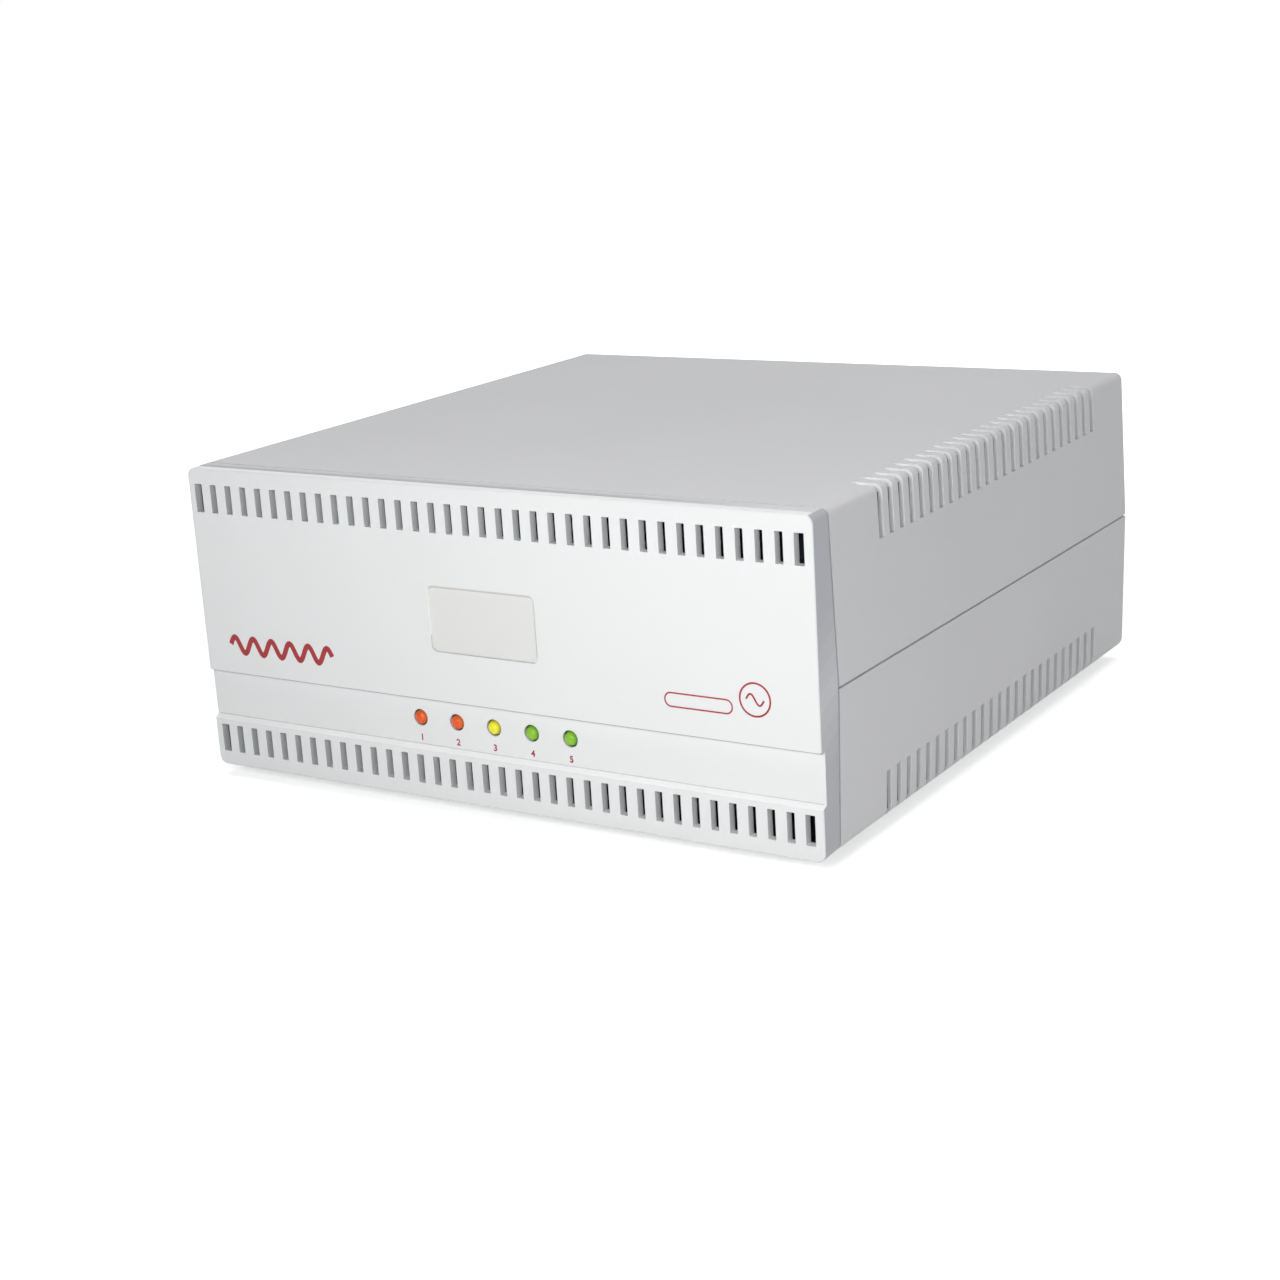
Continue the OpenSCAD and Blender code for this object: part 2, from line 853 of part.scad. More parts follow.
// A solid through rings of n points each, which run anticlockwise as seen from the front
module solid_through(rings, n) {
  last = len(rings) - 1;
  hub = len(rings) * n;
  polyhedron(
    points = concat([for (ring = rings) each ring], [for (k = [0, last]) [0, rings[k][0].y, z_part]]),
    faces = concat(
      [
        for (i = [0:n - 1])
          let (j = (i + 1) % n)
          each [[hub, j, i], [hub + 1, last * n + i, last * n + j]]
      ],
      [
        for (k = [0:last - 1], i = [0:n - 1])
          let (j = (i + 1) % n, a = k * n, b = a + n)
          each [[a + i, a + j, b + j], [a + i, b + j, b + i]]
      ]
    )
  );
}

// The panel widens from the rounded edge of its face to the case's section at the seam
module front_panel_form() {
  rings = concat(
    [
      for (i = [0:face_steps])
        let (a = 90 * i / face_steps)
        ring_at(front_y + face_edge_r * (1 - cos(a)), face_points(face_edge_r * (1 - sin(a))))
    ],
    [for (y = [seam_y - seam_gap, seam_y]) ring_at(y, section_points(0))]
  );
  solid_through(rings, len(rings[0]));
}

// The lamp band's section in Y and Z, with a square top wall and a sloped lower wall
module band_section() {
  polygon([
    [-over, 0], [band_depth, 0], [band_depth, band_slope - band_h], [0, -band_h], [-over, -band_h]
  ]);
}

module band_cut() {
  translate([-case_w / 2 - over, front_y, z_part - band_drop]) rotate([90, 0, 90])
    linear_extrude(case_w + 2 * over) band_section();
}

module slot_row_cuts(z) {
  for (i = [0:front_slots - 1]) {
    w = i == 0 || i == front_slots - 1 ? end_slot_w : front_slot_w;
    translate([front_slot_x(i), front_y - over, z]) box_from(w, wall + 2 * over, front_slot_h);
  }
}

module front_panel() {
  color([0.94, 0.94, 0.94]) difference() {
    union() {
      difference() {
        front_panel_form();
        along_y(front_y + wall, seam_y + over) polygon(section_points(wall));
      }
      intersection() {
        along_y(front_y + wall - root, front_y + wall + band_depth) polygon(section_points(wall - root));
        translate([0, front_y, z_part - band_drop - band_h - wall])
          box_from(case_w, wall + band_depth, band_h + 2 * wall);
      }
      both_sides() {
        translate([panel_post_x, 0, foot_h + panel_post_up])
          rod_y(panel_post_r, front_y + wall, front_y + wall + panel_post_l);
        translate([lamp_post_x, 0, lamp_z]) rod_y(lamp_post_r, front_y + wall, lamp_board_y);
        panel_hook();
      }
    }
    band_cut();
    slot_row_cuts(z_part + upper_h - top_row_inset - front_slot_h);
    slot_row_cuts(foot_h + bottom_row_inset);
    seam_groove_cut();
    translate([0, 0, z_part + window_up])
      plate_y(window_w + 2 * window_slip, window_h + 2 * window_slip, window_r + window_slip,
        front_y - over, front_y + window_depth);
    for (i = [0:lamp_n - 1]) at_lamp(i)
      rod_y(lamp_d / 2 + lamp_slip, front_y - over, front_y + wall + band_depth + over);
    both_sides() {
      translate([panel_post_x, 0, foot_h + panel_post_up])
        rod_y(small_screw_r + hole_clear, front_y + wall + over, front_y + wall + panel_post_l + over);
      translate([lamp_post_x, 0, lamp_z])
        rod_y(small_screw_r + hole_clear, band_floor_y + lamp_post_skin, lamp_board_y + over);
    }
  }
}

// The step round the panel's rear edge that leaves a groove at the seam
module seam_groove_cut() {
  difference() {
    along_y(seam_y - seam_gap, seam_y + over) polygon(section_points(-over));
    along_y(seam_y - seam_gap - over, seam_y + 2 * over) polygon(section_points(seam_groove_d));
  }
}

// A hook on a web, which the upper shell's slotted rib locks
module panel_hook() {
  translate([hook_x, front_y + wall - root, z_part + hook_up])
    box_from(hook_web_t, hook_l + root, hook_h);
  translate([hook_x, front_y + wall + hook_l - hook_t, z_part + hook_up])
    box_from(hook_w, hook_t, hook_h);
}

module window_plate() {
  color([0.86, 0.85, 0.82]) translate([0, 0, z_part + window_up])
    plate_y(window_w, window_h, window_r,
      front_y + window_depth - window_plate_t, front_y + window_depth);
}

module panel_screws() {
  y = front_y + wall + panel_post_l + tab_t;
  color([0.6, 0.6, 0.62]) both_sides() translate([panel_post_x, y, foot_h + panel_post_up])
    rotate([-90, 0, 0]) screw(small_screw_r, panel_screw_l, small_head_r, small_head_h);
}

// Lamps

module at_lamp(i) {
  translate([(i - (lamp_n - 1) / 2) * lamp_pitch, 0, lamp_z]) children();
}

// A lamp on its board: flange, body, dome and two leads
module lamp(i) {
  dome_y = lamp_board_y - lamp_total + lamp_d / 2;
  color(lamp_colours[i]) at_lamp(i) {
    rod_y(lamp_flange_r, lamp_board_y - lamp_flange_h, lamp_board_y);
    rod_y(lamp_d / 2, dome_y, lamp_board_y - lamp_flange_h / 2);
    translate([0, dome_y, 0]) sphere(lamp_d / 2);
    for (s = [-1, 1]) translate([s * lead_pitch / 2, 0, 0])
      rod_y(lead_r, lamp_board_y - lamp_flange_h / 2, lamp_board_y + board_t + lead_out);
  }
}

module lamp_board() {
  color([0.1, 0.4, 0.25]) difference() {
    translate([0, lamp_board_y, lamp_z - lamp_board_h / 2]) box_from(lamp_board_w, board_t, lamp_board_h);
    for (i = [0:lamp_n - 1], s = [-1, 1]) at_lamp(i) translate([s * lead_pitch / 2, 0, 0])
      rod_y(lead_hole_r, lamp_board_y - over, lamp_board_y + board_t + over);
    both_sides() translate([lamp_post_x, 0, lamp_z])
      rod_y(small_screw_r + pass_clear, lamp_board_y - over, lamp_board_y + board_t + over);
  }
}

module board_screws() {
  color([0.7, 0.7, 0.72]) {
    both_sides() translate([lamp_post_x, lamp_board_y + board_t, lamp_z]) rotate([-90, 0, 0])
      screw(small_screw_r, board_screw_l, small_head_r, small_head_h);
    for (x = [-1, 1], y = [-1, 1])
      translate([
        board_x + x * (board_w / 2 - board_post_in), board_y + y * (board_l / 2 - board_post_in),
        board_top
      ]) screw(small_screw_r, board_screw_l, small_head_r, small_head_h);
  }
}

// A shrouded header that stands on its board, with its pins
module pin_header() {
  difference() {
    translate([-header_w / 2, -header_d / 2, 0]) cube([header_w, header_d, header_h]);
    translate([header_wall - header_w / 2, header_wall - header_d / 2, header_h / 3])
      cube([header_w - 2 * header_wall, header_d - 2 * header_wall, header_h]);
  }
  for (i = [0:pin_n - 1]) translate([(i - (pin_n - 1) / 2) * pin_pitch, 0, 0])
    cylinder(r = pin_r, h = header_h / 2);
}

module pin_headers() {
  color([0.93, 0.92, 0.86]) {
    translate([lamp_header_x, lamp_board_y + board_t, lamp_z]) rotate([-90, 0, 0]) pin_header();
    translate([board_header_x, board_header_y, board_top]) pin_header();
  }
}

module lamp_cable() {
  y0 = lamp_board_y + board_t + header_h / 2;
  z1 = board_top + header_h / 2;
  color([0.2, 0.2, 0.22]) wire([
    [lamp_header_x, y0, lamp_z], [lamp_header_x, y0 + cable_straight, lamp_z], each cable_bends,
    [board_header_x, board_header_y, z1 + cable_straight], [board_header_x, board_header_y, z1]
  ], cable_r);
}

// Transformer

module at_toroid(z) {
  translate([toroid_x, toroid_y, z]) children();
}

module base_plate() {
  color([0.7, 0.71, 0.73]) difference() {
    union() {
      at_toroid(plate_z) translate([-plate_w / 2, -plate_w / 2, 0]) cube([plate_w, plate_w, plate_t]);
      at_toroid(plate_z) translate([0, plate_w / 2 - root, 0]) box_from(plate_tab_w, blade_l + root, blade_t);
    }
    at_toroid(plate_z - over) {
      cylinder(r = bolt_r + bolt_clear, h = plate_t + 2 * over);
      for (x = [-1, 1], y = [-1, 1]) translate([x * plate_post_at, y * plate_post_at, 0])
        cylinder(r = self_tap_r + pass_clear, h = plate_t + 2 * over);
    }
  }
}

module base_plate_screws() {
  color([0.6, 0.6, 0.62]) at_toroid(pad_z)
    for (x = [-1, 1], y = [-1, 1]) translate([x * plate_post_at, y * plate_post_at, 0])
      screw(self_tap_r, plate_t + plate_post_h - over, case_screw_head_r, case_screw_head_h);
}

module transformer_bolt() {
  color([0.62, 0.62, 0.64]) at_toroid(plate_z - bolt_head_h) {
    hexagon(bolt_head_w, bolt_head_h);
    cylinder(r = bolt_r, h = bolt_top - plate_z + bolt_head_h);
  }
}

module pad(z) {
  color([0.12, 0.12, 0.13]) at_toroid(z) difference() {
    cylinder(r = pad_r, h = pad_t);
    translate([0, 0, -over]) cylinder(r = bolt_r + bolt_clear, h = pad_t + 2 * over);
  }
}

module lower_pad() {
  pad(pad_z);
}

module upper_pad() {
  pad(toroid_top);
}

// A ring with rounded edges, t inside the toroid's taped outside
module ring_area(t, edge_r) {
  w = (toroid_d - toroid_hole_d) / 2 - 2 * t;
  translate([toroid_hole_d / 2 + t + w / 2, toroid_h / 2]) rounded(w, toroid_h - 2 * t, edge_r);
}

module transformer_core() {
  color([0.35, 0.35, 0.37]) at_toroid(toroid_z) rotate_extrude()
    ring_area(tape_t + winding_t, winding_edge_r - over);
}

module transformer_winding() {
  color([0.72, 0.42, 0.22]) at_toroid(toroid_z) rotate_extrude() difference() {
    ring_area(tape_t, toroid_edge_r - tape_t);
    ring_area(tape_t + winding_t, winding_edge_r - over);
  }
}

module transformer_tape() {
  color([0.08, 0.12, 0.3]) at_toroid(toroid_z) rotate_extrude() difference() {
    ring_area(0, toroid_edge_r);
    ring_area(tape_t, toroid_edge_r - tape_t);
  }
}

module dish_washer() {
  color([0.72, 0.73, 0.75]) at_toroid(dish_z) rotate_extrude() polygon([
    [bolt_r + bolt_clear, dish_h - dish_t], [dish_flat_r, dish_h - dish_t], [dish_r - dish_t, 0],
    [dish_r, 0], [dish_r, dish_t], [dish_r - dish_t, dish_t], [dish_flat_r, dish_h],
    [bolt_r + bolt_clear, dish_h]
  ]);
}

module transformer_nut() {
  color([0.75, 0.75, 0.77]) at_toroid(nut_z) difference() {
    hexagon(bolt_head_w, nut_h);
    translate([0, 0, -over]) cylinder(r = bolt_r + hole_clear, h = nut_h + 2 * over);
  }
}

// Control board

module on_board(at) {
  translate([board_x + at.x, board_y + at.y, board_top]) children();
}

module control_board() {
  color([0.1, 0.4, 0.25]) difference() {
    translate([board_x - board_w / 2, board_y - board_l / 2, board_z]) cube([board_w, board_l, board_t]);
    for (x = [-1, 1], y = [-1, 1])
      translate([
        board_x + x * (board_w / 2 - board_post_in), board_y + y * (board_l / 2 - board_post_in),
        board_z - over
      ]) cylinder(r = small_screw_r + pass_clear, h = board_t + 2 * over);
  }
}

module relays() {
  color([0.15, 0.35, 0.65]) for (i = [0:relays - 1])
    on_board([relay_x, (i - relays / 2) * relay_pitch]) {
      translate([-relay_size.x / 2, -relay_size.y / 2, 0])
        cube([relay_size.x, relay_size.y, relay_size.z - relay_edge]);
      translate([relay_edge - relay_size.x / 2, relay_edge - relay_size.y / 2, 0])
        cube([relay_size.x - 2 * relay_edge, relay_size.y - 2 * relay_edge, relay_size.z]);
    }
}

module capacitors() {
  color([0.1, 0.1, 0.25]) for (p = capacitor_places) on_board(p) difference() {
    cylinder(r = capacitor_r, h = capacitor_h);
    translate([0, 0, capacitor_h - capacitor_rim / 2])
      cylinder(r = capacitor_r - capacitor_rim, h = capacitor_rim);
  }
}

// Laminated core with two windows, standing on the board
module small_transformer_core() {
  color([0.4, 0.4, 0.42]) on_board(small_at) difference() {
    translate([-small_core.x / 2, -small_core.y / 2, 0]) cube(small_core);
    for (s = [-1, 1])
      translate([s * (small_core.x / 2 - small_core_window * 1.5) - small_core_window / 2,
        -small_core.y / 2 - over, (small_core.z - small_coil.z) / 2])
        cube([small_core_window, small_core.y + 2 * over, small_coil.z]);
  }
}

// The coil round the core's middle leg, bulging out before and behind it
module small_transformer_coil() {
  leg = small_core.x - 4 * small_core_window;
  color([0.75, 0.6, 0.2]) on_board(small_at) difference() {
    translate([
      -leg / 2 - small_core_window + slip, -small_coil.y / 2, (small_core.z - small_coil.z) / 2 + slip
    ])
      cube([leg + 2 * small_core_window - 2 * slip, small_coil.y, small_coil.z - 2 * slip]);
    translate([-leg / 2 - slip, -small_core.y / 2 - slip, 0])
      cube([leg + 2 * slip, small_core.y + 2 * slip, small_core.z]);
  }
}

module chip(l) {
  difference() {
    translate([-chip_w / 2, -l / 2, 0]) cube([chip_w, l, chip_h]);
    translate([0, l / 2, chip_h - chip_notch_r / 2]) cylinder(r = chip_notch_r, h = chip_notch_r);
  }
}

module microcontroller() {
  color([0.1, 0.1, 0.1]) on_board(micro_at) chip(micro_l);
}

module driver_chip() {
  color([0.12, 0.12, 0.12]) on_board(driver_at) chip(driver_l);
}

// A tab package: moulded body with its metal tab against the heat sink
module voltage_regulator() {
  color([0.14, 0.14, 0.15]) on_board(tab_pack_at)
    translate([-tab_pack.x / 2, 0, 0]) cube(tab_pack);
}

module heat_sink() {
  fin_gap = (sink_size.x - sink_fin_t) / (sink_fins - 1);
  color([0.25, 0.25, 0.27]) on_board(tab_pack_at) translate([-sink_size.x / 2, -sink_size.y, 0]) {
    translate([0, sink_size.y - sink_base_t, 0]) cube([sink_size.x, sink_base_t, sink_size.z]);
    for (i = [0:sink_fins - 1]) translate([i * fin_gap, 0, 0]) cube([sink_fin_t, sink_size.y, sink_size.z]);
  }
}

// A row of screw terminals along X, with its wire entries on the side towards +Y
module terminal_block(ways) {
  l = ways * block_pitch;
  difference() {
    translate([-l / 2, -block_d / 2, 0]) cube([l, block_d, block_h]);
    for (i = [0:ways - 1]) translate([(i - (ways - 1) / 2) * block_pitch, 0, 0]) {
      translate([0, 0, block_h - block_entry_l]) cylinder(r = block_screw_r, h = block_entry_l + over);
      translate([0, 0, block_wire_z]) rod_y(block_entry_r, block_d / 2 - block_entry_l, block_d / 2 + over);
    }
  }
}

module mains_terminal_block() {
  color([0.2, 0.45, 0.3]) translate([board_x, mains_block_y, board_top]) terminal_block(mains_ways);
}

module tap_terminal_block() {
  color([0.2, 0.45, 0.3]) translate([tap_block_x, toroid_y, board_top]) rotate([0, 0, -90])
    terminal_block(tap_ways);
}

// Rear sockets, inlet, switch and breaker

module at_socket(i) {
  translate([socket_first_x + i * socket_pitch, 0, socket_z]) children();
}

module socket_screw_places() {
  for (s = [-1, 1]) translate([s * socket_screw_at, 0, s * socket_screw_at]) children();
}

// An outlet with a round well, two contact holes and slots for the earth clip
module socket(i) {
  color([0.92, 0.92, 0.9]) at_socket(i) difference() {
    union() {
      plate_y(flange_w, flange_w, flange_r, rear_out_y, rear_out_y + flange_t);
      rod_y(socket_r, socket_back, rear_out_y + flange_t / 2);
    }
    rod_y(well_d / 2, well_back, rear_out_y + flange_t + over);
    for (s = [-1, 1]) translate([s * contact_at, 0, 0])
      rod_y(contact_r + contact_slip, socket_back - over, well_back + over);
    for (s = [-1, 1]) translate([0, 0, s * clip_z() - clip_t / 2 - clip_slip])
      translate([0, socket_back - over, 0])
        box_from(clip_w + 2 * clip_slip, well_back - socket_back + 2 * over, clip_t + 2 * clip_slip);
    socket_screw_places() rod_y(small_screw_r + pass_clear, rear_out_y - over, rear_out_y + flange_t + over);
  }
}

// Middle of an earth clip's arm, just inside the wall of the well
function clip_z() = sqrt(pow(well_d / 2, 2) - pow(clip_w / 2, 2)) - clip_t / 2 - clip_slip;

// Sleeves of one pole in every socket, joined behind them by a bar with a tab for its wire
module contact_bar(side, tab_x) {
  bar_z = side * bar_off;
  y = socket_back - bar_t;
  first = socket_first_x + side * contact_at;
  color([0.85, 0.7, 0.35]) {
    translate([first - bar_w / 2, y, socket_z + bar_z - bar_w / 2])
      cube([(sockets - 1) * socket_pitch + bar_w, bar_t, bar_w]);
    for (i = [0:sockets - 1]) at_socket(i) translate([side * contact_at, 0, 0]) {
      translate([0, y, min(0, bar_z)]) box_from(bar_w, bar_t, abs(bar_z));
      difference() {
        rod_y(contact_r, y, y + bar_t + contact_l);
        rod_y(contact_bore_r, y + bar_t + over, y + bar_t + contact_l + over);
      }
    }
    translate([tab_x, y - blade_l, socket_z + bar_z - blade_t / 2])
      box_from(blade_w, blade_l + bar_t / 2, blade_t);
  }
}

module live_bar() {
  contact_bar(1, live_tab_x);
}

module neutral_bar() {
  contact_bar(-1, neutral_tab_x);
}

// Clips in the wells of all sockets, joined behind them by yokes and a bar with a tab
module earth_bar() {
  y = socket_back - yoke_gap - bar_t;
  color([0.8, 0.82, 0.84]) {
    for (i = [0:sockets - 1]) at_socket(i) {
      translate([0, y, -clip_z() - clip_t / 2]) box_from(clip_w, bar_t, 2 * clip_z() + clip_t);
      for (s = [-1, 1]) translate([0, y, s * clip_z() - clip_t / 2])
        box_from(clip_w, well_back + clip_l - y, clip_t);
    }
    translate([socket_first_x, y, socket_z - earth_bar_drop - bar_w / 2])
      cube([earth_bar_tab_x - socket_first_x + bar_w / 2, bar_t, bar_w]);
    translate([earth_bar_tab_x, y - blade_l, socket_z - earth_bar_drop - blade_t / 2])
      box_from(blade_w, blade_l + bar_t / 2, blade_t);
  }
}

// Screws through what is fastened to the rear panel, with their heads outside it
module rear_screw(face_y) {
  l = face_y - rear_in_y + rear_screw_bite;
  translate([0, face_y, 0]) rotate([-90, 0, 0]) screw(small_screw_r, l, small_head_r, small_head_h);
}

module rear_nut(y) {
  translate([0, y, 0]) rotate([90, 0, 0]) difference() {
    hexagon(rear_nut_w, rear_nut_h);
    translate([0, 0, -over]) cylinder(r = small_screw_r + hole_clear, h = rear_nut_h + 2 * over);
  }
}

module rear_screws() {
  color([0.7, 0.7, 0.72]) {
    for (i = [0:sockets - 1]) at_socket(i) socket_screw_places() rear_screw(rear_out_y + flange_t);
    for (s = [-1, 1]) translate([inlet_x + s * inlet_screw_at, 0, inlet_z]) rear_screw(rear_out_y + flange_t);
    translate([earth_x, 0, earth_z]) rear_screw(rear_out_y);
  }
}

module rear_nuts() {
  color([0.75, 0.75, 0.77]) {
    for (i = [0:sockets - 1]) at_socket(i) socket_screw_places() rear_nut(rear_in_y);
    for (s = [-1, 1]) translate([inlet_x + s * inlet_screw_at, 0, inlet_z]) rear_nut(rear_in_y);
    translate([earth_x, 0, earth_z]) rear_nut(rear_in_y - blade_t);
  }
}

module inlet() {
  color([0.12, 0.12, 0.13]) translate([inlet_x, 0, inlet_z]) difference() {
    union() {
      plate_y(inlet_flange_w, inlet_flange_h, flange_r, rear_out_y, rear_out_y + flange_t);
      translate([0, rear_out_y - inlet_l, -inlet_h / 2]) box_from(inlet_w, inlet_l + flange_t / 2, inlet_h);
    }
    plate_y(inlet_well_w, inlet_well_h, flange_r, rear_out_y + flange_t - inlet_well_depth,
      rear_out_y + flange_t + over);
    inlet_pin_places() translate([0, rear_out_y - inlet_l - over, -inlet_pin_h / 2 - grip_slip])
      box_from(inlet_pin_w + 2 * grip_slip, inlet_l, inlet_pin_h + 2 * grip_slip);
    for (s = [-1, 1]) translate([s * inlet_screw_at, 0, 0])
      rod_y(small_screw_r + pass_clear, rear_out_y - over, rear_out_y + flange_t + over);
  }
}

module inlet_pin_places() {
  for (s = [-1, 0, 1]) translate([s * inlet_pin_at, 0, s == 0 ? inlet_earth_up : 0]) children();
}

// Three flat pins in the well, each with a tab behind the inlet
module inlet_pins() {
  color([0.8, 0.8, 0.82]) translate([inlet_x, 0, inlet_z]) inlet_pin_places() {
    translate([0, rear_out_y - inlet_l, -inlet_pin_h / 2])
      box_from(inlet_pin_w, inlet_l + flange_t - inlet_pin_back, inlet_pin_h);
    translate([0, rear_out_y - inlet_l - blade_l, -blade_w / 2]) box_from(blade_t, blade_l, blade_w);
  }
}

module switch_frame() {
  color([0.1, 0.1, 0.1]) translate([switch_x, 0, switch_z]) difference() {
    union() {
      plate_y(bezel_w, bezel_h, inner_r, rear_out_y, rear_out_y + bezel_t);
      translate([0, rear_out_y - switch_l, -switch_h / 2])
        box_from(switch_w, switch_l + bezel_t / 2, switch_h);
    }
    translate([0, rear_out_y + bezel_t - hollow_l, -hollow_h / 2])
      box_from(hollow_w, hollow_l + over, hollow_h);
    translate([-pivot_reach(), rear_out_y, 0]) rotate([0, 90, 0])
      cylinder(r = pivot_r + pivot_clear, h = 2 * pivot_reach());
  }
}

// Half of the pivot bore's length, a little past the pivot pins
function pivot_reach() = hollow_w / 2 - rocker_slip + pivot_l + pivot_clear * 2;

// The rocker's outline in Y and Z about its pivot, shallow V face outwards
function rocker_points() = [
  [-rocker_deep, -rocker_foot], [rocker_nose, -rocker_half], [rocker_waist, 0],
  [rocker_nose, rocker_half], [-rocker_deep, rocker_foot]
];

module switch_rocker() {
  w = hollow_w - 2 * rocker_slip;
  color([0.75, 0.1, 0.1]) translate([switch_x, rear_out_y, switch_z]) rotate([-rocker_turn / 2, 0, 0]) {
    translate([-w / 2, 0, 0]) rotate([90, 0, 90]) linear_extrude(w) polygon(rocker_points());
    translate([-w / 2 - pivot_l, 0, 0]) rotate([0, 90, 0]) cylinder(r = pivot_r, h = w + 2 * pivot_l);
  }
}

module switch_terminals() {
  color([0.85, 0.7, 0.35]) translate([switch_x, rear_out_y - switch_l, switch_z])
    for (x = [-1, 1], z = [-1, 1])
      translate([x * terminal_at, -blade_l, z * terminal_up - blade_w / 2])
        box_from(blade_t, blade_l, blade_w);
}

module breaker_body() {
  color([0.1, 0.1, 0.1]) translate([breaker_x, 0, breaker_z]) {
    difference() {
      union() {
        translate([0, rear_in_y - breaker_l, -breaker_h / 2]) box_from(breaker_w, breaker_l, breaker_h);
        rod_y(neck_r, rear_in_y - over, rear_out_y + neck_l);
      }
      rod_y(button_r + button_clear, rear_in_y - over, rear_out_y + neck_l + over);
      rod_y(button_room_r, rear_in_y - over - button_room_l, rear_in_y - over);
    }
    for (s = [-1, 1])
      translate([0, rear_in_y - breaker_l - blade_l, s * breaker_terminal_at - blade_w / 2])
        box_from(blade_t, blade_l, blade_w);
  }
}

module breaker_nut() {
  color([0.8, 0.8, 0.82]) translate([breaker_x, rear_out_y, breaker_z]) rotate([-90, 0, 0]) difference() {
    hexagon(breaker_nut_w, breaker_nut_h);
    translate([0, 0, -over]) cylinder(r = neck_r + hole_clear, h = breaker_nut_h + 2 * over);
  }
}

// The reset button, pressed in, with the flange inside that stops it when it pops out
module breaker_button() {
  flange_y = rear_in_y - over - button_travel - slip;
  color([0.9, 0.9, 0.88]) translate([breaker_x, 0, breaker_z]) {
    rod_y(button_r, flange_y, rear_out_y + neck_l + button_out);
    rod_y(button_flange_r, flange_y - button_flange_t, flange_y);
  }
}

// Blades in a row on a plate that is screwed behind the rear panel
module earth_tab() {
  y = rear_in_y - blade_t;
  w = earth_blades * earth_pitch + 2 * earth_tab_in;
  color([0.8, 0.82, 0.84]) difference() {
    union() {
      translate([earth_x - earth_tab_in, y, earth_z - earth_tab_h / 2]) cube([w, blade_t, earth_tab_h]);
      for (i = [1:earth_blades]) translate([earth_x + i * earth_pitch, y - blade_l, earth_z - blade_w / 2])
        box_from(blade_t, blade_l + blade_t / 2, blade_w);
    }
    translate([earth_x, 0, earth_z])
      rod_y(small_screw_r + pass_clear, y - over, rear_in_y + over);
  }
}

// Wiring

// Ends of wires, at the back of a connector or in a terminal
function inlet_end(s) = [
  inlet_x + s * inlet_pin_at, rear_out_y - inlet_l - grip_reach, inlet_z + (s == 0 ? inlet_earth_up : 0)
];

function switch_end(x, z) =
  [switch_x + x * terminal_at, rear_out_y - switch_l - grip_reach, switch_z + z * terminal_up];

function breaker_end(z) =
  [breaker_x, rear_in_y - breaker_l - grip_reach, breaker_z + z * breaker_terminal_at];

function mains_end(i) = [
  board_x + (i - (mains_ways - 1) / 2) * block_pitch,
  mains_block_y + block_d / 2 - block_entry_l,
  board_top + block_wire_z
];

function pole_end(x, side) = [x, socket_back - bar_t - grip_reach, socket_z + side * bar_off];

function earth_bar_end() =
  [earth_bar_tab_x, socket_back - yoke_gap - bar_t - grip_reach, socket_z - earth_bar_drop];

function plate_end() = [toroid_x, toroid_y + plate_w / 2 + grip_reach, plate_z + blade_t / 2];

function earth_end(i) = [earth_x + i * earth_pitch, rear_in_y - blade_t - grip_reach, earth_z];

// A wire from a to b, with a lead to the front (-1) or rear (1) at each end and bends between them
module joined_wire(a, side_a, bends, side_b, b) {
  a1 = a + [0, side_a * wire_lead, 0];
  b1 = b + [0, side_b * wire_lead, 0];
  n = len(bends) + 1;
  wire([a, a1, for (i = [1:n - 1]) a1 + (b1 - a1) * i / n + bends[i - 1], b1, b], wire_r);
}

module live_wires() {
  color([0.45, 0.25, 0.15]) {
    joined_wire(inlet_end(-1), -1, live_bends[0], -1, breaker_end(-1));
    joined_wire(breaker_end(1), -1, live_bends[1], -1, switch_end(1, 1));
    joined_wire(switch_end(1, -1), -1, live_bends[2], 1, mains_end(2));
    joined_wire(mains_end(3), 1, live_bends[3], -1, pole_end(live_tab_x, 1));
  }
}

module neutral_wires() {
  color([0.15, 0.3, 0.7]) {
    joined_wire(inlet_end(1), -1, neutral_bends[0], -1, switch_end(-1, 1));
    joined_wire(switch_end(-1, -1), -1, neutral_bends[1], 1, mains_end(1));
    joined_wire(mains_end(4), 1, neutral_bends[2], -1, pole_end(neutral_tab_x, -1));
  }
}

module earth_wires() {
  color([0.35, 0.6, 0.2]) {
    joined_wire(inlet_end(0), -1, earth_bends[0], -1, earth_end(3));
    joined_wire(earth_bar_end(), -1, earth_bends[1], -1, earth_end(2));
    joined_wire(plate_end(), 1, earth_bends[2], -1, earth_end(1));
  }
}

// Each tap leaves its terminal, climbs beside the toroid and ends on its top
module tap_wires() {
  x0 = tap_block_x + block_d / 2 - block_entry_l;
  z0 = board_top + block_wire_z;
  side_x = toroid_x - toroid_d / 2;
  for (i = [0:tap_ways - 1]) {
    y = toroid_y + (i - (tap_ways - 1) / 2) * block_pitch;
    x1 = toroid_x - sqrt(pow(toroid_d / 2 - toroid_edge_r - 2 * tap_r, 2) - pow(y - toroid_y, 2));
    color([0.7, 0.2, 0.15]) wire([
      [x0, y, z0], [x0 + tap_straight, y, z0], [side_x - tap_gap, y, z0 + tap_rise],
      for (p = tap_bends) [side_x + p.x, y, toroid_top + p.y],
      [x1, y, toroid_top + tap_straight], [x1, y, toroid_top]
    ], tap_r);
  }
}

// A sleeve over a blade that points to -Y, with its long side along X or along Z
module grip(upright) {
  rotate([0, upright ? 90 : 0, 0]) difference() {
    translate([-grip_w / 2, -grip_l, -grip_t / 2]) cube([grip_w, grip_l, grip_t]);
    translate([-blade_w / 2 - grip_slip, -blade_l + grip_stand - slip, -blade_t / 2 - grip_slip])
      cube([blade_w + 2 * grip_slip, blade_l + over, blade_t + 2 * grip_slip]);
  }
}

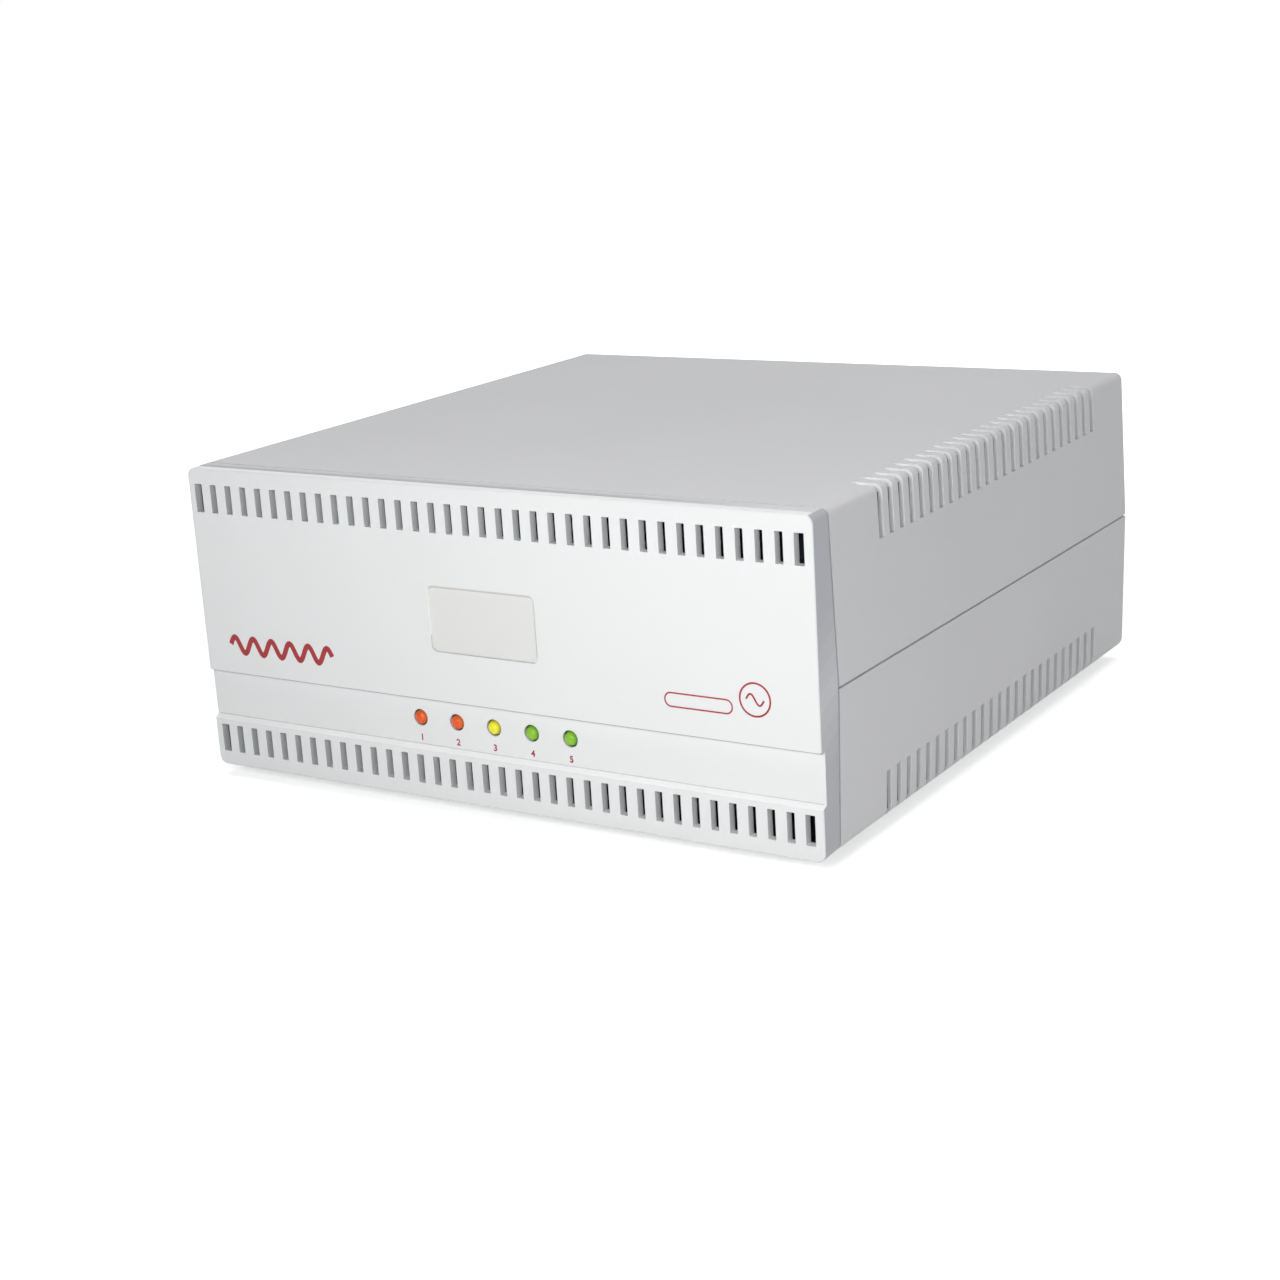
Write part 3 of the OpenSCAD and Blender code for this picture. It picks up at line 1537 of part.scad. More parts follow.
module wire_connectors() {
  bar_y = socket_back - bar_t - grip_stand;
  earth_bar_y = socket_back - yoke_gap - bar_t - grip_stand;
  color([0.85, 0.86, 0.88]) {
    translate([inlet_x, rear_out_y - inlet_l - grip_stand, inlet_z]) inlet_pin_places() grip(true);
    translate([switch_x, rear_out_y - switch_l - grip_stand, switch_z])
      for (x = [-1, 1], z = [-1, 1]) translate([x * terminal_at, 0, z * terminal_up]) grip(true);
    translate([breaker_x, rear_in_y - breaker_l - grip_stand, breaker_z])
      for (s = [-1, 1]) translate([0, 0, s * breaker_terminal_at]) grip(true);
    translate([live_tab_x, bar_y, socket_z + bar_off]) grip(false);
    translate([neutral_tab_x, bar_y, socket_z - bar_off]) grip(false);
    translate([earth_bar_tab_x, earth_bar_y, socket_z - earth_bar_drop]) grip(false);
    for (i = [1:earth_blades])
      translate([earth_x + i * earth_pitch, rear_in_y - blade_t - grip_stand, earth_z]) grip(true);
    at_toroid(plate_z + blade_t / 2) translate([0, plate_w / 2 + grip_stand, 0])
      mirror([0, 1, 0]) grip(false);
  }
}

front_panel();
window_plate();
upper_shell();
lower_shell();
rear_panel();
feet();
case_screws();
panel_screws();
lamp(0);  // lamp_1
lamp(1);  // lamp_2
lamp(2);  // lamp_3
lamp(3);  // lamp_4
lamp(4);  // lamp_5
lamp_board();
board_screws();
pin_headers();
lamp_cable();
base_plate();
base_plate_screws();
transformer_bolt();
lower_pad();
transformer_core();
transformer_winding();
transformer_tape();
upper_pad();
dish_washer();
transformer_nut();
control_board();
relays();
capacitors();
small_transformer_core();
small_transformer_coil();
microcontroller();
driver_chip();
voltage_regulator();
heat_sink();
mains_terminal_block();
tap_terminal_block();
socket(0);  // socket_1
socket(1);  // socket_2
socket(2);  // socket_3
live_bar();
neutral_bar();
earth_bar();
rear_screws();
rear_nuts();
inlet();
inlet_pins();
switch_frame();
switch_rocker();
switch_terminals();
breaker_body();
breaker_nut();
breaker_button();
earth_tab();
live_wires();
neutral_wires();
earth_wires();
tap_wires();
wire_connectors();
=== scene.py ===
"""Desktop voltage stabilizer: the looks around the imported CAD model. Metres, in the model's frame."""

import json
import math

import bpy
from mathutils import Matrix, Vector


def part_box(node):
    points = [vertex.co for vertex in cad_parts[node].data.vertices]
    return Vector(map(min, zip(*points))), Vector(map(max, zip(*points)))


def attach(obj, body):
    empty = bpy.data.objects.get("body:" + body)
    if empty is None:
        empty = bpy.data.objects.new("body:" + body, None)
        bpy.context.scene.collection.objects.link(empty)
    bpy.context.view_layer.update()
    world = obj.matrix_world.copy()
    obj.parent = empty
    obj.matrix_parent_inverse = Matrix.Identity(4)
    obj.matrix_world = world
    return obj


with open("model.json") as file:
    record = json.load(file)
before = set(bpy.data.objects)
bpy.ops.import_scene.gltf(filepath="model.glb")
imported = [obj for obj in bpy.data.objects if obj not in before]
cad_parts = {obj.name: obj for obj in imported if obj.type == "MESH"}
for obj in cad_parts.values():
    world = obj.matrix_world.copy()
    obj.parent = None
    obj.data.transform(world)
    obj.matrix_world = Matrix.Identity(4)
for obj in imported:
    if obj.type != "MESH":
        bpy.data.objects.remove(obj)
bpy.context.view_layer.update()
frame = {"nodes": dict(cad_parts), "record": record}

NODES = frame["nodes"]

# Camera, fitted to the case's edges and slots in the photograph
PHOTO_PX = 1280
FOCAL_PX = 2237.05
SENSOR_MM = 36.0
CAMERA_AT = (0.40944, -0.65694, 0.24790)
CAMERA_TURN = 33.165
CAMERA_DIP = 15.812
CAMERA_ROLL = -3.546

# Linear colours
SHELL = (0.69, 0.684, 0.686)
# Painted light: the vents' walls, paler than the shell
VENT_WALL_LIGHT = (0.91, 0.915, 0.92)
PANEL = (0.80, 0.805, 0.80)
WINDOW = (0.755, 0.755, 0.73)
# Painted light and shade on the panel: a highlight on the top edge, a shadow line behind it, shaded top and
# side returns, slot walls lit more to the right, and highlights on the band's slope and the window's rim
TOP_EDGE_HIGHLIGHT = (0.90, 0.90, 0.89)
TOP_SHADE = (0.38, 0.39, 0.40)
TOP_RETURN_SHADE = (0.66, 0.66, 0.665)
SIDE_RETURN_SHADE = (0.45, 0.455, 0.48)
SLOT_WALL_SHADED = (0.56, 0.57, 0.585)
SLOT_WALL_LIT = (0.84, 0.85, 0.85)
SLOPE_HIGHLIGHT = (0.95, 0.95, 0.94)
WINDOW_RIM_LIGHT = (0.95, 0.95, 0.93)
# Painted shade: the dark tone inside the case
INSIDE_SHADE = (0.022, 0.034, 0.044)
PRINT_RED = (0.35, 0.016, 0.02)
WHITE = (1.0, 1.0, 1.0)
SKY = (0.88, 0.94, 1.0)
FLOOR = (0.88, 0.88, 0.88)

# Places where tones change, in metres. Each pair is where a blend starts and ends.
TOP_EDGE_Y = (-0.1168, -0.1163)
TOP_SHADE_Y = (-0.1158, -0.1118)
TOP_SHADE_X = (0.05, 0.1)
TOP_RETURN_Z = (0.1042, 0.1048)
SIDE_RETURN_X = (0.1163, 0.1168)
SLOT_WALLS_X = (-0.118, 0.118)
LAMP_TIP_Y = (-0.1187, -0.1178)

# Bounds of regions with painted light or shade, in metres
RECESS_X = (-0.021, 0.021)
RECESS_Z = (0.06, 0.09)
SLOPE_Z = (0.0204, 0.0218)
VENTS_Y = (-0.1, 0.1)
SHELL_CAVITY = ((-0.1171, -0.1164, 0.0068), (0.1171, 0.1105, 0.1057))
PANEL_CAVITY = ((-0.1171, -0.1168, 0.0068), (0.1171, -0.1, 0.1057))

# Blends on how much a face's normal lies along an axis
OFF_FRONT = (-0.45, -0.15)
UPWARDS = (0.6, 0.8)
FORE_OR_AFT = (0.45, 0.6)

# The floor's own light for the camera, and the distances from its middle where that changes
FLOOR_GLOW = (0.55, 1.0)
FLOOR_GLOW_AT = (0.2, 0.8)


# Materials

def new_material(name):
    """An empty node material with its Principled shader and object coordinates."""
    mat = bpy.data.materials.new(name)
    mat.use_nodes = True
    tree = mat.node_tree
    shader = tree.nodes["Principled BSDF"]
    coords = tree.nodes.new("ShaderNodeTexCoord").outputs["Object"]
    return mat, tree, shader, coords


def noise(tree, coords, scale, detail=2.0, stretch=None):
    """The factor of a noise texture. Scale is in features per metre."""
    if stretch:
        mapping = tree.nodes.new("ShaderNodeMapping")
        mapping.inputs["Scale"].default_value = stretch
        tree.links.new(coords, mapping.inputs["Vector"])
        coords = mapping.outputs["Vector"]
    node = tree.nodes.new("ShaderNodeTexNoise")
    node.inputs["Scale"].default_value = scale
    node.inputs["Detail"].default_value = detail
    tree.links.new(coords, node.inputs["Vector"])
    return node.outputs["Fac"]


def ramp(tree, factor, low, high, start=0.3, end=0.7):
    """A value that goes from low to high as factor goes from start to end."""
    node = tree.nodes.new("ShaderNodeMapRange")
    node.inputs["From Min"].default_value = start
    node.inputs["From Max"].default_value = end
    node.inputs["To Min"].default_value = low
    node.inputs["To Max"].default_value = high
    tree.links.new(factor, node.inputs["Value"])
    return node.outputs["Result"]


def blend_colours(tree, factor, a, b):
    """A mix of two colours, each a tuple or a socket."""
    node = tree.nodes.new("ShaderNodeMix")
    node.data_type = "RGBA"
    tree.links.new(factor, node.inputs["Factor"])
    for socket, colour in ((node.inputs[6], a), (node.inputs[7], b)):
        if isinstance(colour, tuple):
            socket.default_value = (*colour, 1.0)
        else:
            tree.links.new(colour, socket)
    return node.outputs[2]


def shade(colour, by):
    """The colour made lighter or darker."""
    return tuple(min(1.0, c * by) for c in colour)


def bump(tree, height, distance, normal=None):
    """A normal that gives the surface a relief of up to the distance."""
    node = tree.nodes.new("ShaderNodeBump")
    node.inputs["Distance"].default_value = distance
    tree.links.new(height, node.inputs["Height"])
    if normal:
        tree.links.new(normal, node.inputs["Normal"])
    return node.outputs["Normal"]


def soft_edges(tree, radius):
    """A normal that rounds the sharp edges by a small radius."""
    node = tree.nodes.new("ShaderNodeBevel")
    node.samples = 4
    node.inputs["Radius"].default_value = radius
    return node.outputs["Normal"]


def plastic(name, colour, roughness, grain=2200, relief=0.00002, vary=0.03, edge=0.0, specular=0.5,
            coat=0.0):
    """Moulded plastic: a fine grain, slight variation of tone and gloss, and softened edges."""
    mat, tree, shader, coords = new_material(name)
    tone = noise(tree, coords, 14, 3)
    shader.inputs["Specular IOR Level"].default_value = specular
    shader.inputs["Coat Weight"].default_value = coat
    shader.inputs["Coat Roughness"].default_value = 0.15
    tree.links.new(
        blend_colours(tree, ramp(tree, tone, 0, 1), shade(colour, 1 - vary), shade(colour, 1 + vary)),
        shader.inputs["Base Color"])
    fine = noise(tree, coords, grain, 2)
    tree.links.new(ramp(tree, fine, roughness * 0.9, roughness * 1.1), shader.inputs["Roughness"])
    normal = soft_edges(tree, edge) if edge else None
    tree.links.new(bump(tree, fine, relief, normal), shader.inputs["Normal"])
    return mat


def calculate(tree, operation, *values):
    """The result of a math node on sockets and numbers."""
    node = tree.nodes.new("ShaderNodeMath")
    node.operation = operation
    for socket, value in zip(node.inputs, values):
        if isinstance(value, (int, float)):
            socket.default_value = value
        else:
            tree.links.new(value, socket)
    return node.outputs[0]


def axes(tree, vector):
    """The X, Y and Z of a vector."""
    node = tree.nodes.new("ShaderNodeSeparateXYZ")
    tree.links.new(vector, node.inputs["Vector"])
    return [node.outputs[name] for name in "XYZ"]


def between(tree, value, low, high, blur=0.0003):
    """1 where the value lies between low and high, else 0."""
    return calculate(tree, "MINIMUM", ramp(tree, value, 0, 1, low - blur, low),
                     ramp(tree, value, 1, 0, high, high + blur))


def dark_inside(mat, low, high):
    """Paint shade on the surfaces within a box of object coordinates: a dark tone for the shade inside the
    case.
    """
    tree = mat.node_tree
    shader = tree.nodes["Principled BSDF"]
    coords = tree.nodes.new("ShaderNodeTexCoord").outputs["Object"]
    within = 1.0
    for value, a, b in zip(axes(tree, coords), low, high):
        within = calculate(tree, "MINIMUM", between(tree, value, a, b), within)
    outside = shader.inputs["Base Color"].links[0].from_socket
    cloud = ramp(tree, noise(tree, coords, 90, 3), 0, 1)
    paint = blend_colours(tree, cloud, shade(INSIDE_SHADE, 0.85), shade(INSIDE_SHADE, 1.15))
    tree.links.new(blend_colours(tree, within, outside, paint), shader.inputs["Base Color"])
    return mat


def face_and_returns(mat, colour):
    """Give the panel's face one tone, and paint light and shade on its returns, its slot walls and the
    band's slope: shade on the returns, a shadow line behind the top edge, highlights on the top edge, the
    slope and the window's rim, and slot walls lit more to the right.
    """
    tree = mat.node_tree
    shader = tree.nodes["Principled BSDF"]
    coords = tree.nodes.new("ShaderNodeTexCoord")
    patches = ramp(tree, noise(tree, coords.outputs["Object"], 12, 3), 0, 1)
    face = blend_colours(tree, patches, shade(colour, 0.99), shade(colour, 1.01))
    x, y, z = axes(tree, coords.outputs["Object"])
    _, facing_front, facing_up = axes(tree, coords.outputs["Normal"])

    # Painted light and shade on the top return: a highlight on its edge, then a painted shadow line that
    # fades to the rear and to the right into a shaded tone
    faded = calculate(tree, "MAXIMUM", ramp(tree, y, 0, 1, *TOP_SHADE_Y), ramp(tree, x, 0, 1, *TOP_SHADE_X))
    top = blend_colours(tree, faded, TOP_SHADE, TOP_RETURN_SHADE)
    top = blend_colours(tree, ramp(tree, y, 0, 1, *TOP_EDGE_Y), TOP_EDGE_HIGHLIGHT, top)

    # Painted light on the slot walls: darker at the left, lighter to the right
    walls = blend_colours(tree, ramp(tree, x, 0, 1, *SLOT_WALLS_X), SLOT_WALL_SHADED, SLOT_WALL_LIT)
    # Painted highlight on the walls of the window's recess
    recess = calculate(tree, "MINIMUM", between(tree, x, *RECESS_X), between(tree, z, *RECESS_Z))
    walls = blend_colours(tree, recess, walls, WINDOW_RIM_LIGHT)
    returns = blend_colours(tree, ramp(tree, z, 0, 1, *TOP_RETURN_Z), walls, top)
    # Painted shade on the side returns
    side = ramp(tree, calculate(tree, "ABSOLUTE", x), 0, 1, *SIDE_RETURN_X)
    returns = blend_colours(tree, side, returns, SIDE_RETURN_SHADE)

    turned = ramp(tree, facing_front, 0, 1, *OFF_FRONT)
    front = blend_colours(tree, turned, face, returns)
    # Painted highlight on the band's sloped lower wall
    rising = ramp(tree, facing_up, 0, 1, *UPWARDS)
    slope = calculate(tree, "MINIMUM", between(tree, z, *SLOPE_Z), rising)
    tree.links.new(blend_colours(tree, slope, front, SLOPE_HIGHLIGHT), shader.inputs["Base Color"])
    return mat


def pale_vents(mat):
    """Paint light on the walls of the vents that face the front or the rear: a paler tone than the shell's,
    standing for the light that falls on them.
    """
    tree = mat.node_tree
    shader = tree.nodes["Principled BSDF"]
    coords = tree.nodes.new("ShaderNodeTexCoord")
    facing = calculate(tree, "ABSOLUTE", axes(tree, coords.outputs["Normal"])[1])
    along = between(tree, axes(tree, coords.outputs["Object"])[1], *VENTS_Y)
    walls = calculate(tree, "MINIMUM", along, ramp(tree, facing, 0, 1, *FORE_OR_AFT))
    cloud = ramp(tree, noise(tree, coords.outputs["Object"], 40, 3), 0, 1)
    pale = blend_colours(tree, cloud, shade(VENT_WALL_LIGHT, 0.97), shade(VENT_WALL_LIGHT, 1.03))
    plain = shader.inputs["Base Color"].links[0].from_socket
    tree.links.new(blend_colours(tree, walls, plain, pale), shader.inputs["Base Color"])
    return mat


def metal(name, colour, roughness, grain=900, stretch=(1, 1, 14), relief=0.000006, edge=0.0,
          metallic=1.0):
    """Plated or rolled metal: streaks along one direction and patches of duller gloss."""
    mat, tree, shader, coords = new_material(name)
    shader.inputs["Metallic"].default_value = metallic
    streaks = noise(tree, coords, grain, 3, stretch)
    patches = noise(tree, coords, 60, 3)
    tree.links.new(
        blend_colours(tree, ramp(tree, patches, 0, 1), shade(colour, 0.9), shade(colour, 1.06)),
        shader.inputs["Base Color"])
    tree.links.new(ramp(tree, patches, roughness * 0.8, roughness * 1.25), shader.inputs["Roughness"])
    normal = soft_edges(tree, edge) if edge else None
    tree.links.new(bump(tree, streaks, relief, normal), shader.inputs["Normal"])
    return mat


def lamp_plastic(name, colour, deep):
    """Tinted diffused epoxy: it glows at the tip of its dome and darkens towards its base."""
    mat, tree, shader, coords = new_material(name)
    cloud = noise(tree, coords, 700, 2)
    body = blend_colours(tree, ramp(tree, cloud, 0, 1), shade(colour, 0.94), colour)
    tinted = blend_colours(tree, ramp(tree, axes(tree, coords)[1], 0, 1, *LAMP_TIP_Y), body, deep)
    tree.links.new(tinted, shader.inputs["Base Color"])
    tree.links.new(tinted, shader.inputs["Emission Color"])
    shader.inputs["Emission Strength"].default_value = 0.12
    shader.inputs["Roughness"].default_value = 0.16
    shader.inputs["Specular IOR Level"].default_value = 0.3
    shader.inputs["Subsurface Weight"].default_value = 0.15
    shader.inputs["Subsurface Scale"].default_value = 0.001
    return mat


MATERIALS = {
    # Painted light on the shell's vent walls, and painted shade inside the shell and the panel
    "shell_plastic": dark_inside(pale_vents(plastic(
        "shell_plastic", SHELL, roughness=0.62, grain=1500, relief=0.00006, vary=0.015, edge=0.0004,
        specular=0.35)), *SHELL_CAVITY),
    "panel_plastic": dark_inside(face_and_returns(plastic(
        "panel_plastic", PANEL, roughness=0.42, grain=2600, relief=0.00001, vary=0.01, edge=0.0002,
        specular=0.4), PANEL), *PANEL_CAVITY),
    "window_plastic": plastic("window_plastic", WINDOW, roughness=0.6, grain=2600, relief=0.00001,
                              vary=0.01, edge=0.0003, specular=0.3),
    "rear_paint": plastic("rear_paint", (0.17, 0.175, 0.185), roughness=0.55, grain=1300, relief=0.00008,
                          vary=0.05, edge=0.0002, specular=0.4),
    "foot_rubber": plastic("foot_rubber", (0.02, 0.02, 0.021), roughness=0.75, grain=900, relief=0.00005,
                           vary=0.1, edge=0.0004, specular=0.3),
    "screw_steel": metal("screw_steel", (0.58, 0.58, 0.57), roughness=0.3, edge=0.0002),
    "lamp_red": lamp_plastic("lamp_red", (0.74, 0.085, 0.008), deep=(0.52, 0.14, 0.025)),
    "lamp_yellow": lamp_plastic("lamp_yellow", (0.84, 0.77, 0.025), deep=(0.46, 0.42, 0.03)),
    "lamp_green": lamp_plastic("lamp_green", (0.23, 0.50, 0.022), deep=(0.13, 0.33, 0.02)),
    "circuit_board": plastic("circuit_board", (0.012, 0.10, 0.04), roughness=0.4, grain=700, relief=0.00003,
                             vary=0.15, coat=0.3),
    "header_plastic": plastic("header_plastic", (0.75, 0.70, 0.58), roughness=0.45),
    "cable_black": plastic("cable_black", (0.02, 0.02, 0.022), roughness=0.45),
    # Painted shade: the steel plates are darkened for the shade inside the case
    "plate_steel": metal("plate_steel", (0.09, 0.095, 0.10), roughness=0.5, edge=0.0003),
    "pad_rubber": plastic("pad_rubber", (0.018, 0.018, 0.019), roughness=0.8, grain=900, relief=0.00005,
                          vary=0.1),
    "core_steel": metal("core_steel", (0.2, 0.2, 0.22), roughness=0.4),
    "winding_wire": metal("winding_wire", (0.5, 0.16, 0.05), roughness=0.3),
    "blue_tape": plastic("blue_tape", (0.012, 0.055, 0.095), roughness=0.22, grain=500, relief=0.00006,
                         vary=0.15, coat=0.4),
    "relay_blue": plastic("relay_blue", (0.015, 0.08, 0.32), roughness=0.35),
    "capacitor_sleeve": plastic("capacitor_sleeve", (0.01, 0.01, 0.03), roughness=0.3, coat=0.3),
    "coil_tape": plastic("coil_tape", (0.62, 0.36, 0.02), roughness=0.3, coat=0.3),
    "chip_black": plastic("chip_black", (0.012, 0.012, 0.012), roughness=0.6),
    "heat_sink_black": metal("heat_sink_black", (0.03, 0.03, 0.032), roughness=0.45, metallic=0.6),
    "block_green": plastic("block_green", (0.015, 0.12, 0.04), roughness=0.45),
    "socket_plastic": plastic("socket_plastic", (0.80, 0.80, 0.77), roughness=0.28, grain=2600,
                              relief=0.000008, vary=0.01, edge=0.0004, coat=0.2),
    "contact_brass": metal("contact_brass", (0.72, 0.47, 0.16), roughness=0.28),
    "tinned_steel": metal("tinned_steel", (0.66, 0.67, 0.68), roughness=0.26),
    "black_plastic": plastic("black_plastic", (0.015, 0.015, 0.016), roughness=0.42, vary=0.1, edge=0.0003),
    "rocker_red": plastic("rocker_red", (0.50, 0.012, 0.01), roughness=0.25, relief=0.000008, edge=0.0003,
                          coat=0.4),
    "button_white": plastic("button_white", (0.78, 0.78, 0.74), roughness=0.3, relief=0.00001, vary=0.02,
                            edge=0.0003),
    "wire_brown": plastic("wire_brown", (0.06, 0.022, 0.01), roughness=0.4),
    "wire_blue": plastic("wire_blue", (0.02, 0.07, 0.42), roughness=0.4),
    "wire_green": plastic("wire_green", (0.10, 0.32, 0.03), roughness=0.4),
    # Painted shade: the red wire is darkened for the shade inside the case
    "wire_red": plastic("wire_red", (0.13, 0.009, 0.007), roughness=0.5),
    "sleeve_clear": plastic("sleeve_clear", (0.55, 0.56, 0.58), roughness=0.25, coat=0.5),
}

for part in frame["record"]["subparts"]:
    mesh = NODES[part["node"]].data
    mesh.materials.clear()
    mesh.materials.append(MATERIALS[part["material_slot"]])


# Printing on the front panel, and plain marks at the rear

FACE_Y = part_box("front_panel")[0].y
BAND_DEPTH = 0.002
BAND_Y = FACE_Y + BAND_DEPTH
PARTING_Z = 0.0555
PRINT_LIFT = 0.00002
FIGURE_SHARE = 0.70  # a figure's height as a share of its font size


def ink(name, colour, roughness=0.6):
    """Printing ink, with hardly any grain."""
    return plastic(name, colour, roughness, grain=3000, relief=0.000004, vary=0.05)


print_ink = ink("print_ink", PRINT_RED, 0.5)
white_ink = ink("white_ink", (0.8, 0.8, 0.8), 0.5)


def flat_mesh(name, faces, place, coat, body="case"):
    """Flat faces, each a list of points in the plane of the print, put in place by a matrix."""
    mesh = bpy.data.meshes.new(name)
    points = [(x, y, 0.0) for face in faces for x, y in face]
    indices = []
    for face in faces:
        first = sum(len(f) for f in indices)
        indices.append(list(range(first, first + len(face))))
    mesh.from_pydata(points, [], indices)
    mesh.transform(place)
    mesh.materials.append(coat)
    mesh.update()
    piece = bpy.data.objects.new(name, mesh)
    bpy.context.scene.collection.objects.link(piece)
    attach(piece, body)


def front_place(x, y, z):
    """Print that faces the front, upright, with its origin at the point."""
    return Matrix.Translation((x, y - PRINT_LIFT, z)) @ Matrix.Rotation(math.radians(90), 4, "X")


def rear_place(x, y, z, tilt=0.0):
    """Print that faces the rear, upright as seen from there, or leaning by an angle."""
    return (Matrix.Translation((x, y, z)) @ Matrix.Rotation(math.radians(tilt), 4, "X")
            @ Matrix.Rotation(math.radians(180), 4, "Z") @ Matrix.Rotation(math.radians(90), 4, "X")
            @ Matrix.Translation((0, 0, PRINT_LIFT)))


def figures(name, number, height, place, coat, body="case", bold=0.0):
    """A number as flat figures of the given height, centred on their place."""
    curve = bpy.data.curves.new(name, "FONT")
    curve.body = str(number)
    curve.size = height / FIGURE_SHARE
    curve.offset = bold
    curve.align_x = "CENTER"
    curve.align_y = "CENTER"
    text = bpy.data.objects.new(name + "_curve", curve)
    bpy.context.scene.collection.objects.link(text)
    bpy.context.view_layer.update()
    mesh = bpy.data.meshes.new_from_object(text)
    bpy.data.objects.remove(text)
    mesh.transform(place)
    mesh.materials.clear()
    mesh.materials.append(coat)
    piece = bpy.data.objects.new(name, mesh)
    bpy.context.scene.collection.objects.link(piece)
    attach(piece, body)


def stroke(points, width, closed=False):
    """Faces of a line of even width along points in the plane."""
    pts = [Vector(p) for p in points]
    n = len(pts)
    sides = []
    for i, p in enumerate(pts):
        before = pts[(i - 1) % n] if closed or i > 0 else None
        after = pts[(i + 1) % n] if closed or i < n - 1 else None
        a = (p - before).normalized() if before is not None else (after - p).normalized()
        b = (after - p).normalized() if after is not None else a
        mean = (a + b).normalized()
        across = Vector((-mean.y, mean.x)) * (width / 2 / max(0.5, mean.dot(a)))
        sides.append((p + across, p - across))
    faces = []
    for i in range(n if closed else n - 1):
        (a0, a1), (b0, b1) = sides[i], sides[(i + 1) % n]
        faces.append([tuple(a1), tuple(b1), tuple(b0), tuple(a0)])
    return faces


def arc(r, n, start, turn, centre=(0.0, 0.0)):
    """Points of an arc about a centre, from the start angle on, in n steps."""
    angles = [math.radians(start + turn * i / n) for i in range(n + 1)]
    return [(centre[0] + r * math.cos(a), centre[1] + r * math.sin(a)) for a in angles]


def circle(r, n=48):
    """Points of a closed circle."""
    return arc(r, n, 0.0, 360.0)[:-1]


def rounded_box(w, h, r, n=6):
    """Points of a closed rectangle with rounded corners."""
    x, y = w / 2 - r, h / 2 - r
    return [p for k, centre in enumerate(((x, y), (-x, y), (-x, -y), (x, -y)))
            for p in arc(r, n, 90 * k, 90, centre)]


def wave(length, height, periods, steps=24):
    """Points of a sine wave centred on the origin."""
    n = int(periods * steps)
    return [(length * (i / n - 0.5), height / 2 * math.sin(2 * math.pi * periods * i / n))
            for i in range(n + 1)]


def earth_sign(size):
    """An upright line on three bars that get shorter."""
    width = size * 0.09
    bars = [stroke([(0, size / 2), (0, 0)], width)]
    for k, share in enumerate((1.0, 0.64, 0.28)):
        y = -k * size * 0.22
        bars.append(stroke([(-size * share / 2, y), (size * share / 2, y)], width))
    return [face for bar in bars for face in bar]


flat_mesh("wave_mark", stroke(wave(length=0.0443, height=0.0053, periods=5.5), width=0.0019),
          front_place(x=-0.0846, y=FACE_Y, z=PARTING_Z - 0.0073), print_ink)
flat_mesh("round_mark", stroke(circle(r=0.0051), width=0.0006, closed=True)
          + stroke(wave(length=0.0060, height=0.0034, periods=1), width=0.0006),
          front_place(x=0.0971, y=FACE_Y, z=PARTING_Z - 0.0035), print_ink)
flat_mesh("long_mark", stroke(rounded_box(w=0.0232, h=0.0043, r=0.0021), width=0.0005, closed=True),
          front_place(x=0.0777, y=FACE_Y, z=PARTING_Z - 0.0067), print_ink)

REAR_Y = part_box("rear_panel")[1].y
OUTLET_NUMBER_UP = 0.0068
OUTLET_NUMBER_HEIGHT = 0.0048
INLET_SIGN_DOWN = 0.0052
EARTH_SIGN_X, EARTH_SIGN_Z = 0.034, 0.0315
for i in range(3):
    socket_low, socket_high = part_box(f"socket_{i + 1}")
    middle = (socket_low.x + socket_high.x) / 2
    figures(f"outlet_number_{i + 1}", i + 1, OUTLET_NUMBER_HEIGHT,
            rear_place(middle, REAR_Y, socket_high.z + OUTLET_NUMBER_UP), white_ink)
inlet_low, inlet_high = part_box("inlet")
flat_mesh("inlet_sign", stroke(wave(length=0.0090, height=0.0030, periods=1), width=0.0007),
          rear_place((inlet_low.x + inlet_high.x) / 2, REAR_Y, inlet_low.z - INLET_SIGN_DOWN), white_ink)
flat_mesh("earth_sign", earth_sign(size=0.0052), rear_place(EARTH_SIGN_X, REAR_Y, EARTH_SIGN_Z), white_ink)

# The rocker's signs, at the middles of the two halves of its face, which lean by these angles at rest
ROCKER_X, ROCKER_Y, ROCKER_Z = 0.072, 0.112, 0.064
flat_mesh("rocker_on_sign", stroke([(0, -0.0022), (0, 0.0022)], width=0.0008),
          rear_place(ROCKER_X, ROCKER_Y + 0.00470, ROCKER_Z + 0.00537, tilt=-16.5), white_ink, "rocker")
flat_mesh("rocker_off_sign", stroke(circle(r=0.0021), width=0.0008, closed=True),
          rear_place(ROCKER_X, ROCKER_Y + 0.00258, ROCKER_Z - 0.00665, tilt=-3.45), white_ink, "rocker")

# Painted shade in the lamp band's recess: a dark line under its upper ledge and a grey line at its lower
# edge, both fine lines
BAND_TOP = PARTING_Z - 0.0174
BAND_FOOT = BAND_TOP - 0.0164
BAND_ENDS = [(-0.1176, 0), (0.1176, 0)]
SHADOW_MIDDLE_DOWN = 0.00046
FOOT_MIDDLE_UP = 0.00016
flat_mesh("ledge_shadow_line", stroke(BAND_ENDS, width=0.0009), front_place(0, BAND_Y, BAND_TOP - SHADOW_MIDDLE_DOWN),
          ink("ledge_shadow_ink", (0.42, 0.42, 0.43)))
flat_mesh("crease_shade_line", stroke(BAND_ENDS, width=0.0003), front_place(0, BAND_Y, BAND_FOOT + FOOT_MIDDLE_UP),
          ink("crease_shade_ink", (0.60, 0.60, 0.61)))


